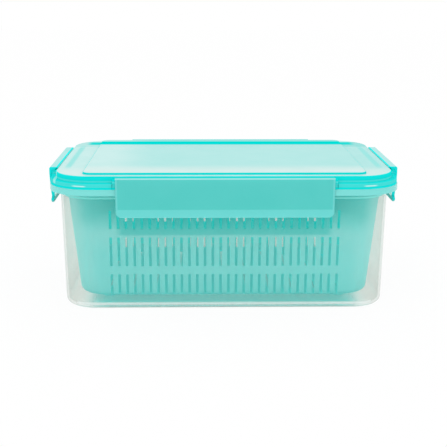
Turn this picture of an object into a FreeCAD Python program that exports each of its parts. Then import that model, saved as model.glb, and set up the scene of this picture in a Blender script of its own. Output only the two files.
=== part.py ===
import FreeCAD, Part
import math
import os

from FreeCAD import Vector

# Fridge storage box, sizes in millimetres.
# Origin: on the ground under the middle of the base. X runs along the length,
# Y towards the back, Z up. The front is the long side at -Y.

# Outer box: clear tub, its outside size taken over the walls at the rim
BOX_LENGTH = 281.6
BOX_DEPTH = 196.2
BOX_HEIGHT = 110.5
BOX_CORNER = 30.1          # outside radius of the upright corners
BOX_WALL = 2.0
BOX_FLOOR = 2.2
BOX_DRAFT = 2.3            # how far each wall leans in from rim to base
BOX_BASE_EDGE = 6.0        # outside rounding between walls and base
BASE_EDGE_STEPS = 2        # straight steps that stand for that rounding
BOX_INNER_EDGE = 3.0       # bevel inside, between walls and floor
BASE_RING = 12.0           # width of the ring that the tub stands on
BASE_HOLLOW = 0.7          # hollow inside that ring

# Flange around the tub, below its rim, with a skirt that the latches hook under
FLANGE_DROP = 4.0          # from the rim down to the flange
FLANGE_REACH = 8.5
FLANGE_PLATE = 1.8
FLANGE_EDGE = 0.9          # bevel at the flange's top edge
SKIRT_DEPTH = 5.5
SKIRT_WALL = 1.8

# Seal ring between rim and lid
SEAL_HEIGHT = 4.3
SEAL_SIDE_GAP = 0.3

# Lid
LID_WALL = 2.0
RIM_CLEARANCE = 1.2        # lid's outer wall to the tub's rim
LID_TOP_EDGE = 1.2         # bevel at the ledge's outer edge
LID_SEAT_GAP = 0.5         # lid's brim to the flange
BRIM_REACH = 4.6
BRIM_HEIGHT = 4.5
BRIM_EDGE = 1.2            # bevel at the brim's top edge
PLUG_CLEARANCE = 1.4       # plug wall to the inside of the rim
PLUG_WALL = 1.8
PLUG_DEPTH = 6.5           # how far the plug wall goes down into the tub
PANEL_RISE = 1.7           # raised panel over the flat ledge around it
LEDGE_WIDTH = 7.5          # ledge along the front and back
LEDGE_END_WIDTH = 24.5     # ledge at the left and right ends
PANEL_CORNER = 8.0
BRIM_WINDOW_MARGIN = 3.0   # brim is cut away this far past each end of a latch

# Latches: one on each side, turning about a bead at the lid's top edge
LONG_LATCH = 181.2         # length of the front and back latches
SHORT_LATCH = 111.8        # length of the end latches
LONG_LATCH_DROP = 33.7     # from the lid's ledge down to the tip
SHORT_LATCH_DROP = 31.8
LATCH_WALL = 2.0
LATCH_GAP = 0.7            # inside of the latch to the flange
LATCH_TOP_EDGE = 1.5
LATCH_MID_LEAN = 0.6       # how far the face leans in at the skirt's foot
LATCH_TAB_LEAN = 1.5       # how far it leans in at the finger tab
TAB_WALL = 2.1
TAB_HEIGHT = 6.4           # flared part at the tip
TAB_FLARE = 0.7
TAB_CORNER = 4.5
HOOK_CLEARANCE = 0.35
HOOK_NOSE_GAP = 3.4        # hook's nose to the tub wall
HOOK_NOSE_HEIGHT = 1.4
HOOK_HEIGHT = 11.0         # hook's face down to the foot of its slope
HINGE_OUT = 0.9            # hinge line outside the lid's outer wall
BEAD_RADIUS = 0.6
BEAD_CLEARANCE = 0.3
NECK = 1.0
NECK_END = 1.7             # neck ends this far outside the lid's outer wall
RAIL_REACH = 1.5           # cradle on the lid that the bead turns in
RAIL_HEIGHT = 1.8

# Drain basket: loose inner basket on four feet. Its walls, floor and feet are
# solids of their own that touch, so each keeps a simple form.
BASKET_RIM_GAP = 1.0       # basket's rim to the inside of the tub
BASKET_TOP_GAP = 0.7       # basket's rim to the lid's plug wall
BASKET_RIM_REACH = 3.2
BASKET_RIM_HEIGHT = 7.3
BASKET_RIM_EDGE = 1.2      # bevel at the rim's top edge
BASKET_WALL = 1.6
BASKET_FLOOR = 1.8
BASKET_DRAFT = 9.0         # how far each wall leans in from rim to floor
BASKET_CORNER = 22.0
BASKET_FLOOR_EDGE = 3.0    # bevel between walls and floor
FOOT_HEIGHT = 5.8
FOOT_WIDTH = 9.0
FOOT_INSET = 24.0          # foot centres inside the basket's floor outline
SLOT_WIDTH = 2.3
SLOT_PITCH = 6.7
LONG_WALL_MARGIN = 13.5    # plain wall between a round corner and the slots
END_WALL_MARGIN = 28.0
SLOT_ROWS = (0.189, 0.273, 0.173)   # rows of slots, lowest first, as shares of its height
SLOT_ROW_GAP = 7.5
SLOT_START = 2.0           # lowest row starts this far above the underside
FLOOR_ROWS = 2
FLOOR_SLOT_PITCH = 20.1
FLOOR_ROW_GAP = 8.0
FLOOR_SLOT_MARGIN = 16.0   # plain floor between the slots and the walls

# Heights worked out from the sizes above
RIM_TOP = BOX_HEIGHT
FLANGE_TOP = RIM_TOP - FLANGE_DROP
SKIRT_FOOT = FLANGE_TOP - SKIRT_DEPTH
LID_ROOF = RIM_TOP + SEAL_HEIGHT
LEDGE_TOP = LID_ROOF + LID_WALL
PANEL_TOP = LEDGE_TOP + PANEL_RISE
BRIM_FOOT = FLANGE_TOP + LID_SEAT_GAP
BRIM_TOP = BRIM_FOOT + BRIM_HEIGHT
PLUG_FOOT = RIM_TOP - PLUG_DEPTH
HINGE_HEIGHT = LEDGE_TOP - BEAD_RADIUS
BASKET_TOP = PLUG_FOOT - BASKET_TOP_GAP
BASKET_FOOT = BOX_FLOOR + FOOT_HEIGHT

# Outsets, counted outwards from the tub's wall at its rim
LID_OUTSET = RIM_CLEARANCE + LID_WALL
BRIM_OUTSET = LID_OUTSET + BRIM_REACH
PLUG_OUTSET = -(BOX_WALL + PLUG_CLEARANCE)
LATCH_OUTSET = FLANGE_REACH + LATCH_GAP + LATCH_WALL

TINY = 0.01
PAST = 1.0                 # how far a cutting solid runs past what it cuts


def rounded_outline(length, depth, radius, height):
    """Return a flat wire: a rectangle with round corners, centred on Z."""
    x, y = length / 2, depth / 2
    skew = radius * (1 - math.sqrt(0.5))
    edges = []
    for turn in range(4):
        # The corner and the straight run after it, written for the corner at
        # +x +y and then turned by quarter turns, with x and y swapped.
        a, b = (x, y) if turn % 2 == 0 else (y, x)
        start = Vector(a, b - radius, height)
        middle = Vector(a - skew, b - skew, height)
        end = Vector(a - radius, b, height)
        run_end = Vector(-(a - radius), b, height)
        pair = [Part.Arc(start, middle, end).toShape(), Part.LineSegment(end, run_end).toShape()]
        for edge in pair:
            edge.rotate(Vector(0, 0, 0), Vector(0, 0, 1), 90 * turn)
            edges.append(edge)
    return Part.Wire(edges)


def slab(outset, bottom, top):
    """Return an upright slab with the tub's outline, grown by an outset."""
    outline = rounded_outline(
        BOX_LENGTH + 2 * outset, BOX_DEPTH + 2 * outset, BOX_CORNER + outset, bottom
    )
    return Part.Face(outline).extrude(Vector(0, 0, top - bottom))


def ring(outer, inner, bottom, top):
    """Return an upright ring between two outsets."""
    return slab(outer, bottom, top).cut(slab(inner, bottom, top))


def flat_edges(shape, height):
    """Return the edges that lie flat at a height on the outside of a shape."""
    reach = shape.BoundBox
    edges = []
    for edge in shape.Edges:
        box = edge.BoundBox
        flat = abs(box.ZMin - height) < TINY and abs(box.ZMax - height) < TINY
        outer = max(abs(box.XMin), abs(box.XMax)) > reach.XMax / 2 or box.YMax > reach.YMax / 2
        if flat and outer:
            edges.append(edge)
    return edges


def bevelled(shape, size, height):
    """Return the shape with a bevel along its flat edges at a height."""
    return shape.makeChamfer(size, flat_edges(shape, height))


def corner_arc(side, end, x, y, height, radius):
    """Return the quarter circle at one corner of an outline with sides at x, y."""
    centre = Vector(side * (x - radius), end * (y - radius), height)
    start = math.degrees(math.atan2(end, side)) - 45
    return Part.makeCircle(radius, centre, Vector(0, 0, 1), start, start + 90)


def outline_edges(length, depth, radius, level):
    """Return the outline at a level as edges in order, arc after arc and line."""
    height, inset = level
    x, y = length / 2 - inset, depth / 2 - inset
    edges = []
    for side, end in ((1, 1), (-1, 1), (-1, -1), (1, -1)):
        arc = corner_arc(side, end, x, y, height, radius)
        if edges:
            edges.append(Part.makeLine(edges[-1].lastVertex().Point, arc.firstVertex().Point))
        edges.append(arc)
    edges.append(Part.makeLine(edges[-1].lastVertex().Point, edges[0].firstVertex().Point))
    return edges


def wall_face(low, high):
    """Return the face between two matching edges of the levels below and above."""
    start, end = low.firstVertex().Point, low.lastVertex().Point
    if low.Curve.TypeId == "Part::GeomLine":
        above_end, above_start = high.lastVertex().Point, high.firstVertex().Point
        return Part.Face(Part.makePolygon([start, end, above_end, above_start, start]))
    return low.extrude(high.firstVertex().Point - start)


def levels_block(length, depth, corner, levels):
    """Return a solid whose walls run through the levels.

    A level is a height and the inset of the walls there. Between two levels
    the walls are flat and lean, and the corners are slanted cylinders, so the
    corner radius is the same all the way up.
    """
    outlines = [outline_edges(length, depth, corner, level) for level in levels]
    faces = [Part.Face(Part.Wire(outlines[0])), Part.Face(Part.Wire(outlines[-1]))]
    for below, above in zip(outlines, outlines[1:]):
        faces.extend(wall_face(low, high) for low, high in zip(below, above))
    shell = Part.Shell(faces)
    shell.sewShape()
    return Part.Solid(shell)


def leaning_levels(draft, bottom, top, edge, steps):
    """Return the levels of walls that lean in by the draft down to the bottom.

    The edge between the walls and the bottom is a quarter circle in a few
    straight steps. One step makes it a plain bevel.
    """
    levels = []
    for i in range(steps, -1, -1):
        angle = math.pi / 2 * i / steps
        height = bottom + edge * (1 - math.sin(angle))
        lean = draft * (top - height) / (top - bottom)
        levels.append((height, lean + edge * (1 - math.cos(angle))))
    levels.append((top, 0.0))
    return levels


def box_between(low, high):
    """Return a box between two corners."""
    size = high - low
    return Part.makeBox(size.x, size.y, size.z, low)


def inner_draft(draft, full_height, height):
    """Return the lean of a wall over a part of its height."""
    return draft * height / full_height


def make_outer_box():
    """Clear tub with leaning walls, round corners, base ring and flange."""
    outside = levels_block(
        BOX_LENGTH,
        BOX_DEPTH,
        BOX_CORNER,
        leaning_levels(BOX_DRAFT, 0, RIM_TOP, BOX_BASE_EDGE, BASE_EDGE_STEPS),
    )
    inner_lean = inner_draft(BOX_DRAFT, BOX_HEIGHT, BOX_HEIGHT - BOX_FLOOR)
    inside = levels_block(
        BOX_LENGTH - 2 * BOX_WALL,
        BOX_DEPTH - 2 * BOX_WALL,
        BOX_CORNER - BOX_WALL,
        leaning_levels(inner_lean, BOX_FLOOR, RIM_TOP, BOX_INNER_EDGE, 1),
    )
    flange = bevelled(slab(FLANGE_REACH, SKIRT_FOOT, FLANGE_TOP), FLANGE_EDGE, FLANGE_TOP)
    under_flange = slab(FLANGE_REACH - SKIRT_WALL, SKIRT_FOOT, FLANGE_TOP - FLANGE_PLATE)
    hollow = slab(-(BOX_DRAFT + BASE_RING), 0, BASE_HOLLOW)
    return flange.cut(under_flange).fuse(outside).cut(inside).cut(hollow)


def side_straights():
    """Yield each side's turn about Z, half width across it, and latch sizes."""
    for turn in (0, 180):
        yield turn, BOX_DEPTH / 2, LONG_LATCH, LONG_LATCH_DROP
    for turn in (90, 270):
        yield turn, BOX_LENGTH / 2, SHORT_LATCH, SHORT_LATCH_DROP


def turned(shape, turn):
    """Return the shape turned about the upright axis."""
    shape.rotate(Vector(0, 0, 0), Vector(0, 0, 1), turn)
    return shape


def hinge_rail(half_width, length):
    """Cradle along the lid's front wall in which a latch's bead turns."""
    wall = -(half_width + LID_OUTSET)
    top = HINGE_HEIGHT - BEAD_RADIUS
    rail = box_between(
        Vector(-length / 2, wall - RAIL_REACH, top - RAIL_HEIGHT),
        Vector(length / 2, wall + LID_WALL / 2, top),
    )
    seat = Part.makeCylinder(
        BEAD_RADIUS + BEAD_CLEARANCE,
        length + 2 * PAST,
        Vector(-length / 2 - PAST, wall - HINGE_OUT, HINGE_HEIGHT),
        Vector(1, 0, 0),
    )
    return rail.cut(seat)


def brim_window(half_width, length):
    """Space cut out of the lid's brim so that a latch can pass."""
    half = length / 2 + BRIM_WINDOW_MARGIN
    wall = -(half_width + LID_OUTSET)
    return box_between(
        Vector(-half, wall - BRIM_REACH - PAST, BRIM_FOOT - PAST),
        Vector(half, wall, BRIM_TOP + PAST),
    )


def panel_block(inset, bottom, top):
    """Upright block with the raised panel's outline, drawn in by an inset."""
    outline = rounded_outline(
        BOX_LENGTH + 2 * (LID_OUTSET - LEDGE_END_WIDTH - inset),
        BOX_DEPTH + 2 * (LID_OUTSET - LEDGE_WIDTH - inset),
        PANEL_CORNER - inset,
        bottom,
    )
    return Part.Face(outline).extrude(Vector(0, 0, top - bottom))


def make_lid():
    """Lid with ledge, raised panel, seal channel, plug wall, brim and rails.

    The panel is hollow below, so the lid is about as thick there as elsewhere.
    """
    cap = bevelled(slab(LID_OUTSET, BRIM_FOOT, LEDGE_TOP), LID_TOP_EDGE, LEDGE_TOP)
    brim = bevelled(slab(BRIM_OUTSET, BRIM_FOOT, BRIM_TOP), BRIM_EDGE, BRIM_TOP)
    brim = brim.cut(slab(BRIM_OUTSET - LID_WALL, BRIM_FOOT, BRIM_TOP - LID_WALL))
    for turn, half_width, length, _drop in side_straights():
        brim = brim.cut(turned(brim_window(half_width, length), turn))
    panel = panel_block(0, LEDGE_TOP - PAST, PANEL_TOP)
    plug = slab(PLUG_OUTSET, PLUG_FOOT, LEDGE_TOP - PAST)
    lid = cap.fuse([brim, panel, plug])
    lid = lid.cut(ring(RIM_CLEARANCE, PLUG_OUTSET, BRIM_FOOT, LID_ROOF))
    lid = lid.cut(slab(PLUG_OUTSET - PLUG_WALL, PLUG_FOOT, LID_ROOF))
    lid = lid.cut(panel_block(LID_WALL, LID_ROOF - PAST, PANEL_TOP - LID_WALL))
    rails = [
        turned(hinge_rail(half_width, length), turn)
        for turn, half_width, length, _drop in side_straights()
    ]
    return lid.fuse(rails).removeSplitter()


def make_lid_seal():
    """Soft ring in the lid's channel, resting on the tub's rim."""
    return ring(RIM_CLEARANCE - SEAL_SIDE_GAP, PLUG_OUTSET + SEAL_SIDE_GAP, RIM_TOP, LID_ROOF)


def latch_profile(wall, drop):
    """Section of a latch, square to the lid's front wall at y = wall.

    It has a bead and a thin neck, a top plate, a face that leans in and
    flares at the tip, and a hook whose face is an arc about the hinge line.
    """
    def at(out, height):
        return Vector(0, wall - out, height)

    hinge_out, hinge_height = HINGE_OUT, HINGE_HEIGHT
    face = LATCH_OUTSET - LID_OUTSET
    inside = face - LATCH_WALL
    tip = LEDGE_TOP - drop
    tab = face - LATCH_TAB_LEAN
    skirt_out = FLANGE_REACH - LID_OUTSET
    hook_radius = HOOK_CLEARANCE + math.hypot(skirt_out - hinge_out, hinge_height - SKIRT_FOOT)

    def on_hook(out):
        return at(out, hinge_height - math.sqrt(hook_radius**2 - (out - hinge_out)**2))

    nose = HOOK_NOSE_GAP - LID_OUTSET
    nose_top = on_hook(nose)
    nose_foot = nose_top - Vector(0, 0, HOOK_NOSE_HEIGHT)
    slope_foot = at(tab - TAB_WALL, nose_top.z - HOOK_HEIGHT)
    round_off = LATCH_TOP_EDGE * (1 - math.sqrt(0.5))
    neck_foot = LEDGE_TOP - NECK
    bead_reach = math.sqrt(BEAD_RADIUS**2 - (hinge_height - neck_foot)**2)
    bead_top = at(hinge_out, LEDGE_TOP)
    bead_foot = at(hinge_out + bead_reach, neck_foot)
    corner_start = at(face - LATCH_TOP_EDGE, LEDGE_TOP)
    corner_end = at(face, LEDGE_TOP - LATCH_TOP_EDGE)
    tab_start = at(tab, tip + TAB_HEIGHT)
    tip_out = at(tab + TAB_FLARE, tip)
    tip_in = at(tab + TAB_FLARE - TAB_WALL, tip)
    tab_inner = at(tab - TAB_WALL, tip + TAB_HEIGHT)
    bend_share = 0.3           # the flare grows slowly at first
    bend_out = at(tab + TAB_FLARE * bend_share, tip + TAB_HEIGHT / 2)
    bend_in = at(tab + TAB_FLARE * bend_share - TAB_WALL, tip + TAB_HEIGHT / 2)
    plate_foot = LEDGE_TOP - LATCH_WALL
    haunch = LATCH_WALL * 0.75
    edges = [
        Part.LineSegment(bead_top, corner_start),
        Part.Arc(
            corner_start,
            at(face - round_off, LEDGE_TOP - round_off),
            corner_end,
        ),
        Part.Arc(corner_end, at(face - LATCH_MID_LEAN, SKIRT_FOOT), tab_start),
        Part.Arc(tab_start, bend_out, tip_out),
        Part.LineSegment(tip_out, tip_in),
        Part.Arc(tip_in, bend_in, tab_inner),
        Part.LineSegment(tab_inner, slope_foot),
        Part.LineSegment(slope_foot, nose_foot),
        Part.LineSegment(nose_foot, nose_top),
        Part.Arc(nose_top, on_hook((nose + inside) / 2), on_hook(inside)),
        Part.LineSegment(on_hook(inside), at(inside, plate_foot - haunch)),
        Part.LineSegment(at(inside, plate_foot - haunch), at(inside - haunch, plate_foot)),
        Part.LineSegment(at(inside - haunch, plate_foot), at(NECK_END + NECK, plate_foot)),
        Part.LineSegment(at(NECK_END + NECK, plate_foot), at(NECK_END, neck_foot)),
        Part.LineSegment(at(NECK_END, neck_foot), bead_foot),
        Part.Arc(bead_foot, at(hinge_out - BEAD_RADIUS, hinge_height), bead_top),
    ]
    return Part.Face(Part.Wire([edge.toShape() for edge in edges]))


def latch_outline(wall, length, drop):
    """Plate with the latch's front view: square on top, round at the tip."""
    half = length / 2
    tip = LEDGE_TOP - drop
    top = LEDGE_TOP + PAST
    skew = TAB_CORNER * (1 - math.sqrt(0.5))
    y = wall + PAST

    def at(x, z):
        return Vector(x, y, z)

    edges = [
        Part.LineSegment(at(-half, top), at(half, top)),
        Part.LineSegment(at(half, top), at(half, tip + TAB_CORNER)),
        Part.Arc(at(half, tip + TAB_CORNER), at(half - skew, tip + skew), at(half - TAB_CORNER, tip)),
        Part.LineSegment(at(half - TAB_CORNER, tip), at(-half + TAB_CORNER, tip)),
        Part.Arc(at(-half + TAB_CORNER, tip), at(-half + skew, tip + skew), at(-half, tip + TAB_CORNER)),
        Part.LineSegment(at(-half, tip + TAB_CORNER), at(-half, top)),
    ]
    outline = Part.Face(Part.Wire([edge.toShape() for edge in edges]))
    return outline.extrude(Vector(0, -(LATCH_OUTSET + 2 * PAST), 0))


def make_latch(half_width, length, drop):
    """Latch of the side at -Y, closed, with its hook under the skirt."""
    wall = -(half_width + LID_OUTSET)
    body = latch_profile(wall, drop)
    body.translate(Vector(-length / 2, 0, 0))
    body = body.extrude(Vector(length, 0, 0))
    return body.common(latch_outline(wall, length, drop))


def basket_blocks():
    """Outer and inner blocks of the basket's leaning walls and round corners."""
    height = BASKET_TOP - BASKET_FOOT
    inset = BOX_WALL + BASKET_RIM_GAP + BASKET_RIM_REACH
    length = BOX_LENGTH - 2 * inset
    depth = BOX_DEPTH - 2 * inset
    outside = levels_block(
        length,
        depth,
        BASKET_CORNER,
        leaning_levels(BASKET_DRAFT, BASKET_FOOT, BASKET_TOP, BASKET_FLOOR_EDGE, 1),
    )
    floor_top = BASKET_FOOT + BASKET_FLOOR
    inner_lean = inner_draft(BASKET_DRAFT, height, height - BASKET_FLOOR)
    inside = levels_block(
        length - 2 * BASKET_WALL,
        depth - 2 * BASKET_WALL,
        BASKET_CORNER - BASKET_WALL,
        leaning_levels(inner_lean, floor_top, BASKET_TOP, BASKET_FLOOR_EDGE, 1),
    )
    return outside, inside


def slot_places(straight, pitch):
    """Return the places of a centred row of slots on a straight run."""
    count = int(straight / pitch) + 1
    return [(i - (count - 1) / 2) * pitch for i in range(count)]


def wall_slots():
    """Upright slots through the long walls and through the end walls."""
    corner = BOX_WALL + BASKET_RIM_GAP + BASKET_RIM_REACH + BASKET_CORNER
    long_run = BOX_LENGTH - 2 * (corner + LONG_WALL_MARGIN)
    end_run = BOX_DEPTH - 2 * (corner + END_WALL_MARGIN)
    reach = BOX_LENGTH
    half = SLOT_WIDTH / 2
    cutters = []
    bottom = BASKET_FOOT + SLOT_START
    for share in SLOT_ROWS:
        top = bottom + share * (BASKET_TOP - BASKET_FOOT)
        for x in slot_places(long_run, SLOT_PITCH):
            cutters.append(box_between(Vector(x - half, -reach, bottom), Vector(x + half, reach, top)))
        for y in slot_places(end_run, SLOT_PITCH):
            cutters.append(box_between(Vector(-reach, y - half, bottom), Vector(reach, y + half, top)))
        bottom = top + SLOT_ROW_GAP
    return cutters


def floor_slots():
    """Slots through the basket's floor, spaced wider than those of the walls."""
    inset = BOX_WALL + BASKET_RIM_GAP + BASKET_RIM_REACH + BASKET_DRAFT + FLOOR_SLOT_MARGIN
    span = BOX_DEPTH - 2 * inset
    row = (span - (FLOOR_ROWS - 1) * FLOOR_ROW_GAP) / FLOOR_ROWS
    half = SLOT_WIDTH / 2
    low = BASKET_FOOT - PAST
    high = BASKET_FOOT + BASKET_FLOOR + PAST
    cutters = []
    for i in range(FLOOR_ROWS):
        start = -span / 2 + i * (row + FLOOR_ROW_GAP)
        for x in slot_places(BOX_LENGTH - 2 * inset, FLOOR_SLOT_PITCH):
            cutters.append(box_between(Vector(x - half, start, low), Vector(x + half, start + row, high)))
    return cutters


def basket_floor_block():
    """Plate between the walls' feet, which is the basket's floor before its slots."""
    inset = BOX_WALL + BASKET_RIM_GAP + BASKET_RIM_REACH + BASKET_DRAFT + BASKET_FLOOR_EDGE
    outline = rounded_outline(
        BOX_LENGTH - 2 * inset, BOX_DEPTH - 2 * inset, BASKET_CORNER, BASKET_FOOT
    )
    return Part.Face(outline).extrude(Vector(0, 0, BASKET_FLOOR))


def make_drain_basket():
    """Basket's slotted walls with their stepped rim, open at the floor."""
    outside, inside = basket_blocks()
    rim_outset = -(BOX_WALL + BASKET_RIM_GAP)
    rim = slab(rim_outset, BASKET_TOP - BASKET_RIM_HEIGHT, BASKET_TOP)
    rim = bevelled(rim, BASKET_RIM_EDGE, BASKET_TOP)
    under_rim = slab(
        rim_outset - BASKET_WALL, BASKET_TOP - BASKET_RIM_HEIGHT, BASKET_TOP - BASKET_WALL
    )
    basket = rim.cut(under_rim).fuse(outside).cut(inside)
    return basket.cut(wall_slots()).cut(basket_floor_block())


def make_basket_floor():
    """Basket's slotted floor, which fills the opening between its walls' feet."""
    return basket_floor_block().cut(floor_slots())


def make_basket_feet():
    """Four square feet that hold the basket's floor above the drained water."""
    inset = BOX_WALL + BASKET_RIM_GAP + BASKET_RIM_REACH + BASKET_DRAFT + FOOT_INSET
    x = BOX_LENGTH / 2 - inset
    y = BOX_DEPTH / 2 - inset
    half = FOOT_WIDTH / 2
    return Part.makeCompound([
        box_between(Vector(cx - half, cy - half, BOX_FLOOR), Vector(cx + half, cy + half, BASKET_FOOT))
        for cx in (-x, x)
        for cy in (-y, y)
    ])


def export(shape, node):
    """Write one node's solids, and say how they came out."""
    solids = shape.Solids
    print(node, "solids", len(solids), "valid", shape.isValid(), "volume", round(shape.Volume))
    Part.makeCompound(solids).exportStep("parts/" + node + ".step")


def main():
    """Build each piece and write it."""
    os.makedirs("parts", exist_ok=True)
    export(make_outer_box(), "outer_box")
    export(make_drain_basket(), "drain_basket")
    export(make_basket_floor(), "basket_floor")
    export(make_basket_feet(), "basket_feet")
    export(make_lid(), "lid")
    export(make_lid_seal(), "lid_seal")
    names = {0: "latch_front", 180: "latch_back", 90: "latch_right", 270: "latch_left"}
    for turn, half_width, length, drop in side_straights():
        latch = turned(make_latch(half_width, length, drop), turn)
        export(latch, names[turn])


main()
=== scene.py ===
"""Looks of a fridge storage box: clear tub, drain basket, lid, seal and four latches.

Sizes are in millimetres in the classes below and become metres in the meshes. The
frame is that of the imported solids: origin on the ground under the middle of the
base, X along the length, Y towards the back, Z up, front side at -Y.
"""

import logging
import math
from dataclasses import dataclass
from enum import Enum
from typing import Any, Dict, List, Optional, Sequence, Tuple, Union

import bpy
import numpy as np
from mathutils import Matrix, Vector


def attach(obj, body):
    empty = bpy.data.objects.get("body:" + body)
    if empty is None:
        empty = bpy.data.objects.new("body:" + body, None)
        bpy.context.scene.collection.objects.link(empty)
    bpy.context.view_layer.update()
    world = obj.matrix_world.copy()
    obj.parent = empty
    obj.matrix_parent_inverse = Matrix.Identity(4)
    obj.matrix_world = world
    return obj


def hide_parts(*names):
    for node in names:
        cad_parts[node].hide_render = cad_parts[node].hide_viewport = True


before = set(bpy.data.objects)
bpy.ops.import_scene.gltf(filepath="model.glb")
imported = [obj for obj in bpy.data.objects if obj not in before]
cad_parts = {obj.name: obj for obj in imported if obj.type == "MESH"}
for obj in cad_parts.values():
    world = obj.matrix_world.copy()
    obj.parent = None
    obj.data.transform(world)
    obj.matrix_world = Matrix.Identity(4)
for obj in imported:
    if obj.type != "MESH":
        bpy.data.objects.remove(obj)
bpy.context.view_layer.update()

log = logging.getLogger("fridge_box")

Colour = Tuple[float, float, float]
Point = Tuple[float, ...]
MM = 0.001


class Slot(Enum):
    """The record's material slots."""

    CLEAR = "clear_plastic"
    BASKET = "basket_plastic"
    LID = "lid_plastic"
    LATCH = "latch_plastic"
    SEAL = "seal_rubber"


class Side(Enum):
    """The four sides of the box, each as its quarter turns from the front."""

    FRONT = 0
    RIGHT = 1
    BACK = 2
    LEFT = 3


# Shader building


class Field:
    """A value that varies over a surface: one output socket, with operators."""

    def __init__(self, shader: "Shader", socket: Optional[bpy.types.NodeSocket]) -> None:
        """Keep the shader and the socket.

        Args:
            shader: the node tree's builder.
            socket: the output socket that carries the value, none on a closing node.
        """
        self.shader = shader
        self.socket = socket

    def _math(self, operation: str, first: "Number", second: "Number") -> "Field":
        """Return a new Math node's result for two values."""
        return self.shader.node("ShaderNodeMath", {0: first, 1: second}, operation=operation)

    def __add__(self, other: "Number") -> "Field":
        """Return self + other."""
        return self._math("ADD", self, other)

    def __radd__(self, other: "Number") -> "Field":
        """Return other + self."""
        return self._math("ADD", other, self)

    def __sub__(self, other: "Number") -> "Field":
        """Return self - other."""
        return self._math("SUBTRACT", self, other)

    def __rsub__(self, other: "Number") -> "Field":
        """Return other - self."""
        return self._math("SUBTRACT", other, self)

    def __mul__(self, other: "Number") -> "Field":
        """Return self * other."""
        return self._math("MULTIPLY", self, other)

    def __rmul__(self, other: "Number") -> "Field":
        """Return other * self."""
        return self._math("MULTIPLY", other, self)

    def __pow__(self, other: "Number") -> "Field":
        """Return self to the power of other."""
        return self._math("POWER", self, other)

    def at_least(self, other: "Number") -> "Field":
        """Return the larger of self and other."""
        return self._math("MAXIMUM", self, other)

    def step(self, low: float, high: float) -> "Field":
        """Return 0 below low and 1 above high, smooth between them.

        Args:
            low: where the rise starts.
            high: where it ends; it may be below low, and then the step falls.

        Returns:
            The smoothed step of this value.
        """
        if high < low:
            return 1 - self.step(high, low)
        return self.shader.node(
            "ShaderNodeMapRange",
            {"Value": self, "From Min": low, "From Max": high},
            interpolation_type="SMOOTHSTEP",
        )


Number = Union[float, Field]
Paint = Union[Colour, Field]
Input = Union[float, Tuple[float, ...], Field]
Key = Union[int, str]


class Shader:
    """Builds one node tree."""

    def __init__(self, tree: bpy.types.NodeTree) -> None:
        """Start from an empty tree.

        Args:
            tree: the node tree of a material or a world.
        """
        self.tree = tree
        tree.nodes.clear()

    def node(
        self, kind: str, inputs: Optional[Dict[Key, Input]] = None, output: Key = 0, **settings: Any
    ) -> Field:
        """Add a node.

        Args:
            kind: the node's type.
            inputs: values or fields by socket name or number.
            output: name or number of the socket to return.
            settings: the node's own properties, set before its sockets.

        Returns:
            The chosen output as a field.
        """
        made = self.tree.nodes.new(kind)
        for name, value in settings.items():
            setattr(made, name, value)
        for name, value in (inputs or {}).items():
            if isinstance(value, Field):
                self.tree.links.new(value.socket, made.inputs[name])
            else:
                made.inputs[name].default_value = value
        return Field(self, made.outputs[output] if made.outputs else None)

    def place(self, axis: str) -> Field:
        """Return one object coordinate in millimetres.

        Args:
            axis: "X", "Y" or "Z".

        Returns:
            The coordinate.
        """
        point = self.node("ShaderNodeTexCoord", output="Object")
        split = self.node("ShaderNodeSeparateXYZ", {0: point}, output=axis)
        return split * (1 / MM)

    def attribute(self, name: str) -> Field:
        """Return a number that the mesh carries by name."""
        return self.node("ShaderNodeAttribute", output="Fac", attribute_name=name)

    def facing(self) -> Field:
        """Return 0 where the surface faces the eye, rising to 1 where it is seen edge on."""
        return self.node("ShaderNodeLayerWeight", {"Blend": 0.5}, output="Facing")

    def noise(self, size: float, detail: float = 2.0, roughness: float = 0.5) -> Field:
        """Return smooth noise with features of about one size.

        Args:
            size: the features' size in millimetres.
            detail: how many finer layers are added.
            roughness: how strong the finer layers are.

        Returns:
            The noise, about 0 to 1 with its middle at 0.5.
        """
        point = self.node("ShaderNodeTexCoord", output="Object")
        return self.node(
            "ShaderNodeTexNoise",
            {"Vector": point, "Scale": 1 / (size * MM), "Detail": detail, "Roughness": roughness},
            output="Fac",
        )

    def blend(self, share: Number, first: Paint, second: Paint) -> Field:
        """Return a mix of two colours.

        Args:
            share: 0 gives the first, 1 the second.
            first: a colour or a field.
            second: a colour or a field.

        Returns:
            The mixed colour.
        """
        a, b = (c if isinstance(c, Field) else (*c, 1.0) for c in (first, second))
        return self.node("ShaderNodeMix", {0: share, 6: a, 7: b}, output=2, data_type="RGBA")

    def bump(self, height: Field, depth: float) -> Field:
        """Return a normal bent by a height field.

        Args:
            height: the height, from 0 to 1.
            depth: how many millimetres the height 1 stands for.

        Returns:
            The bent normal.
        """
        return self.node("ShaderNodeBump", {"Height": height, "Distance": depth * MM, "Strength": 1.0})

    def mix(self, share: Number, first: Field, second: Field) -> Field:
        """Return a mix of two shaders; a share of 1 is all the second."""
        return self.node("ShaderNodeMixShader", {0: share, 1: first, 2: second})

    def finish(self, surface: Field, kind: str = "ShaderNodeOutputMaterial") -> None:
        """Join the surface to the tree's output."""
        self.node(kind, {"Surface": surface})


def new_material(name: str) -> Tuple[bpy.types.Material, Shader]:
    """Make a material.

    Args:
        name: the material's name.

    Returns:
        The material and the builder of its empty node tree.
    """
    material = bpy.data.materials.new(name)
    material.use_nodes = True
    return material, Shader(material.node_tree)


class Along(Enum):
    """What a range is measured along."""

    X = "X"
    Y = "Y"
    Z = "Z"
    X_SIZE = "distance from the middle, along X"
    Y_SIZE = "distance from the middle, along Y"
    TOP = "how far the surface faces up, from -1 to 1"
    OUT = "how far the surface faces away from the middle, below 0 on the inside"


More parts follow.
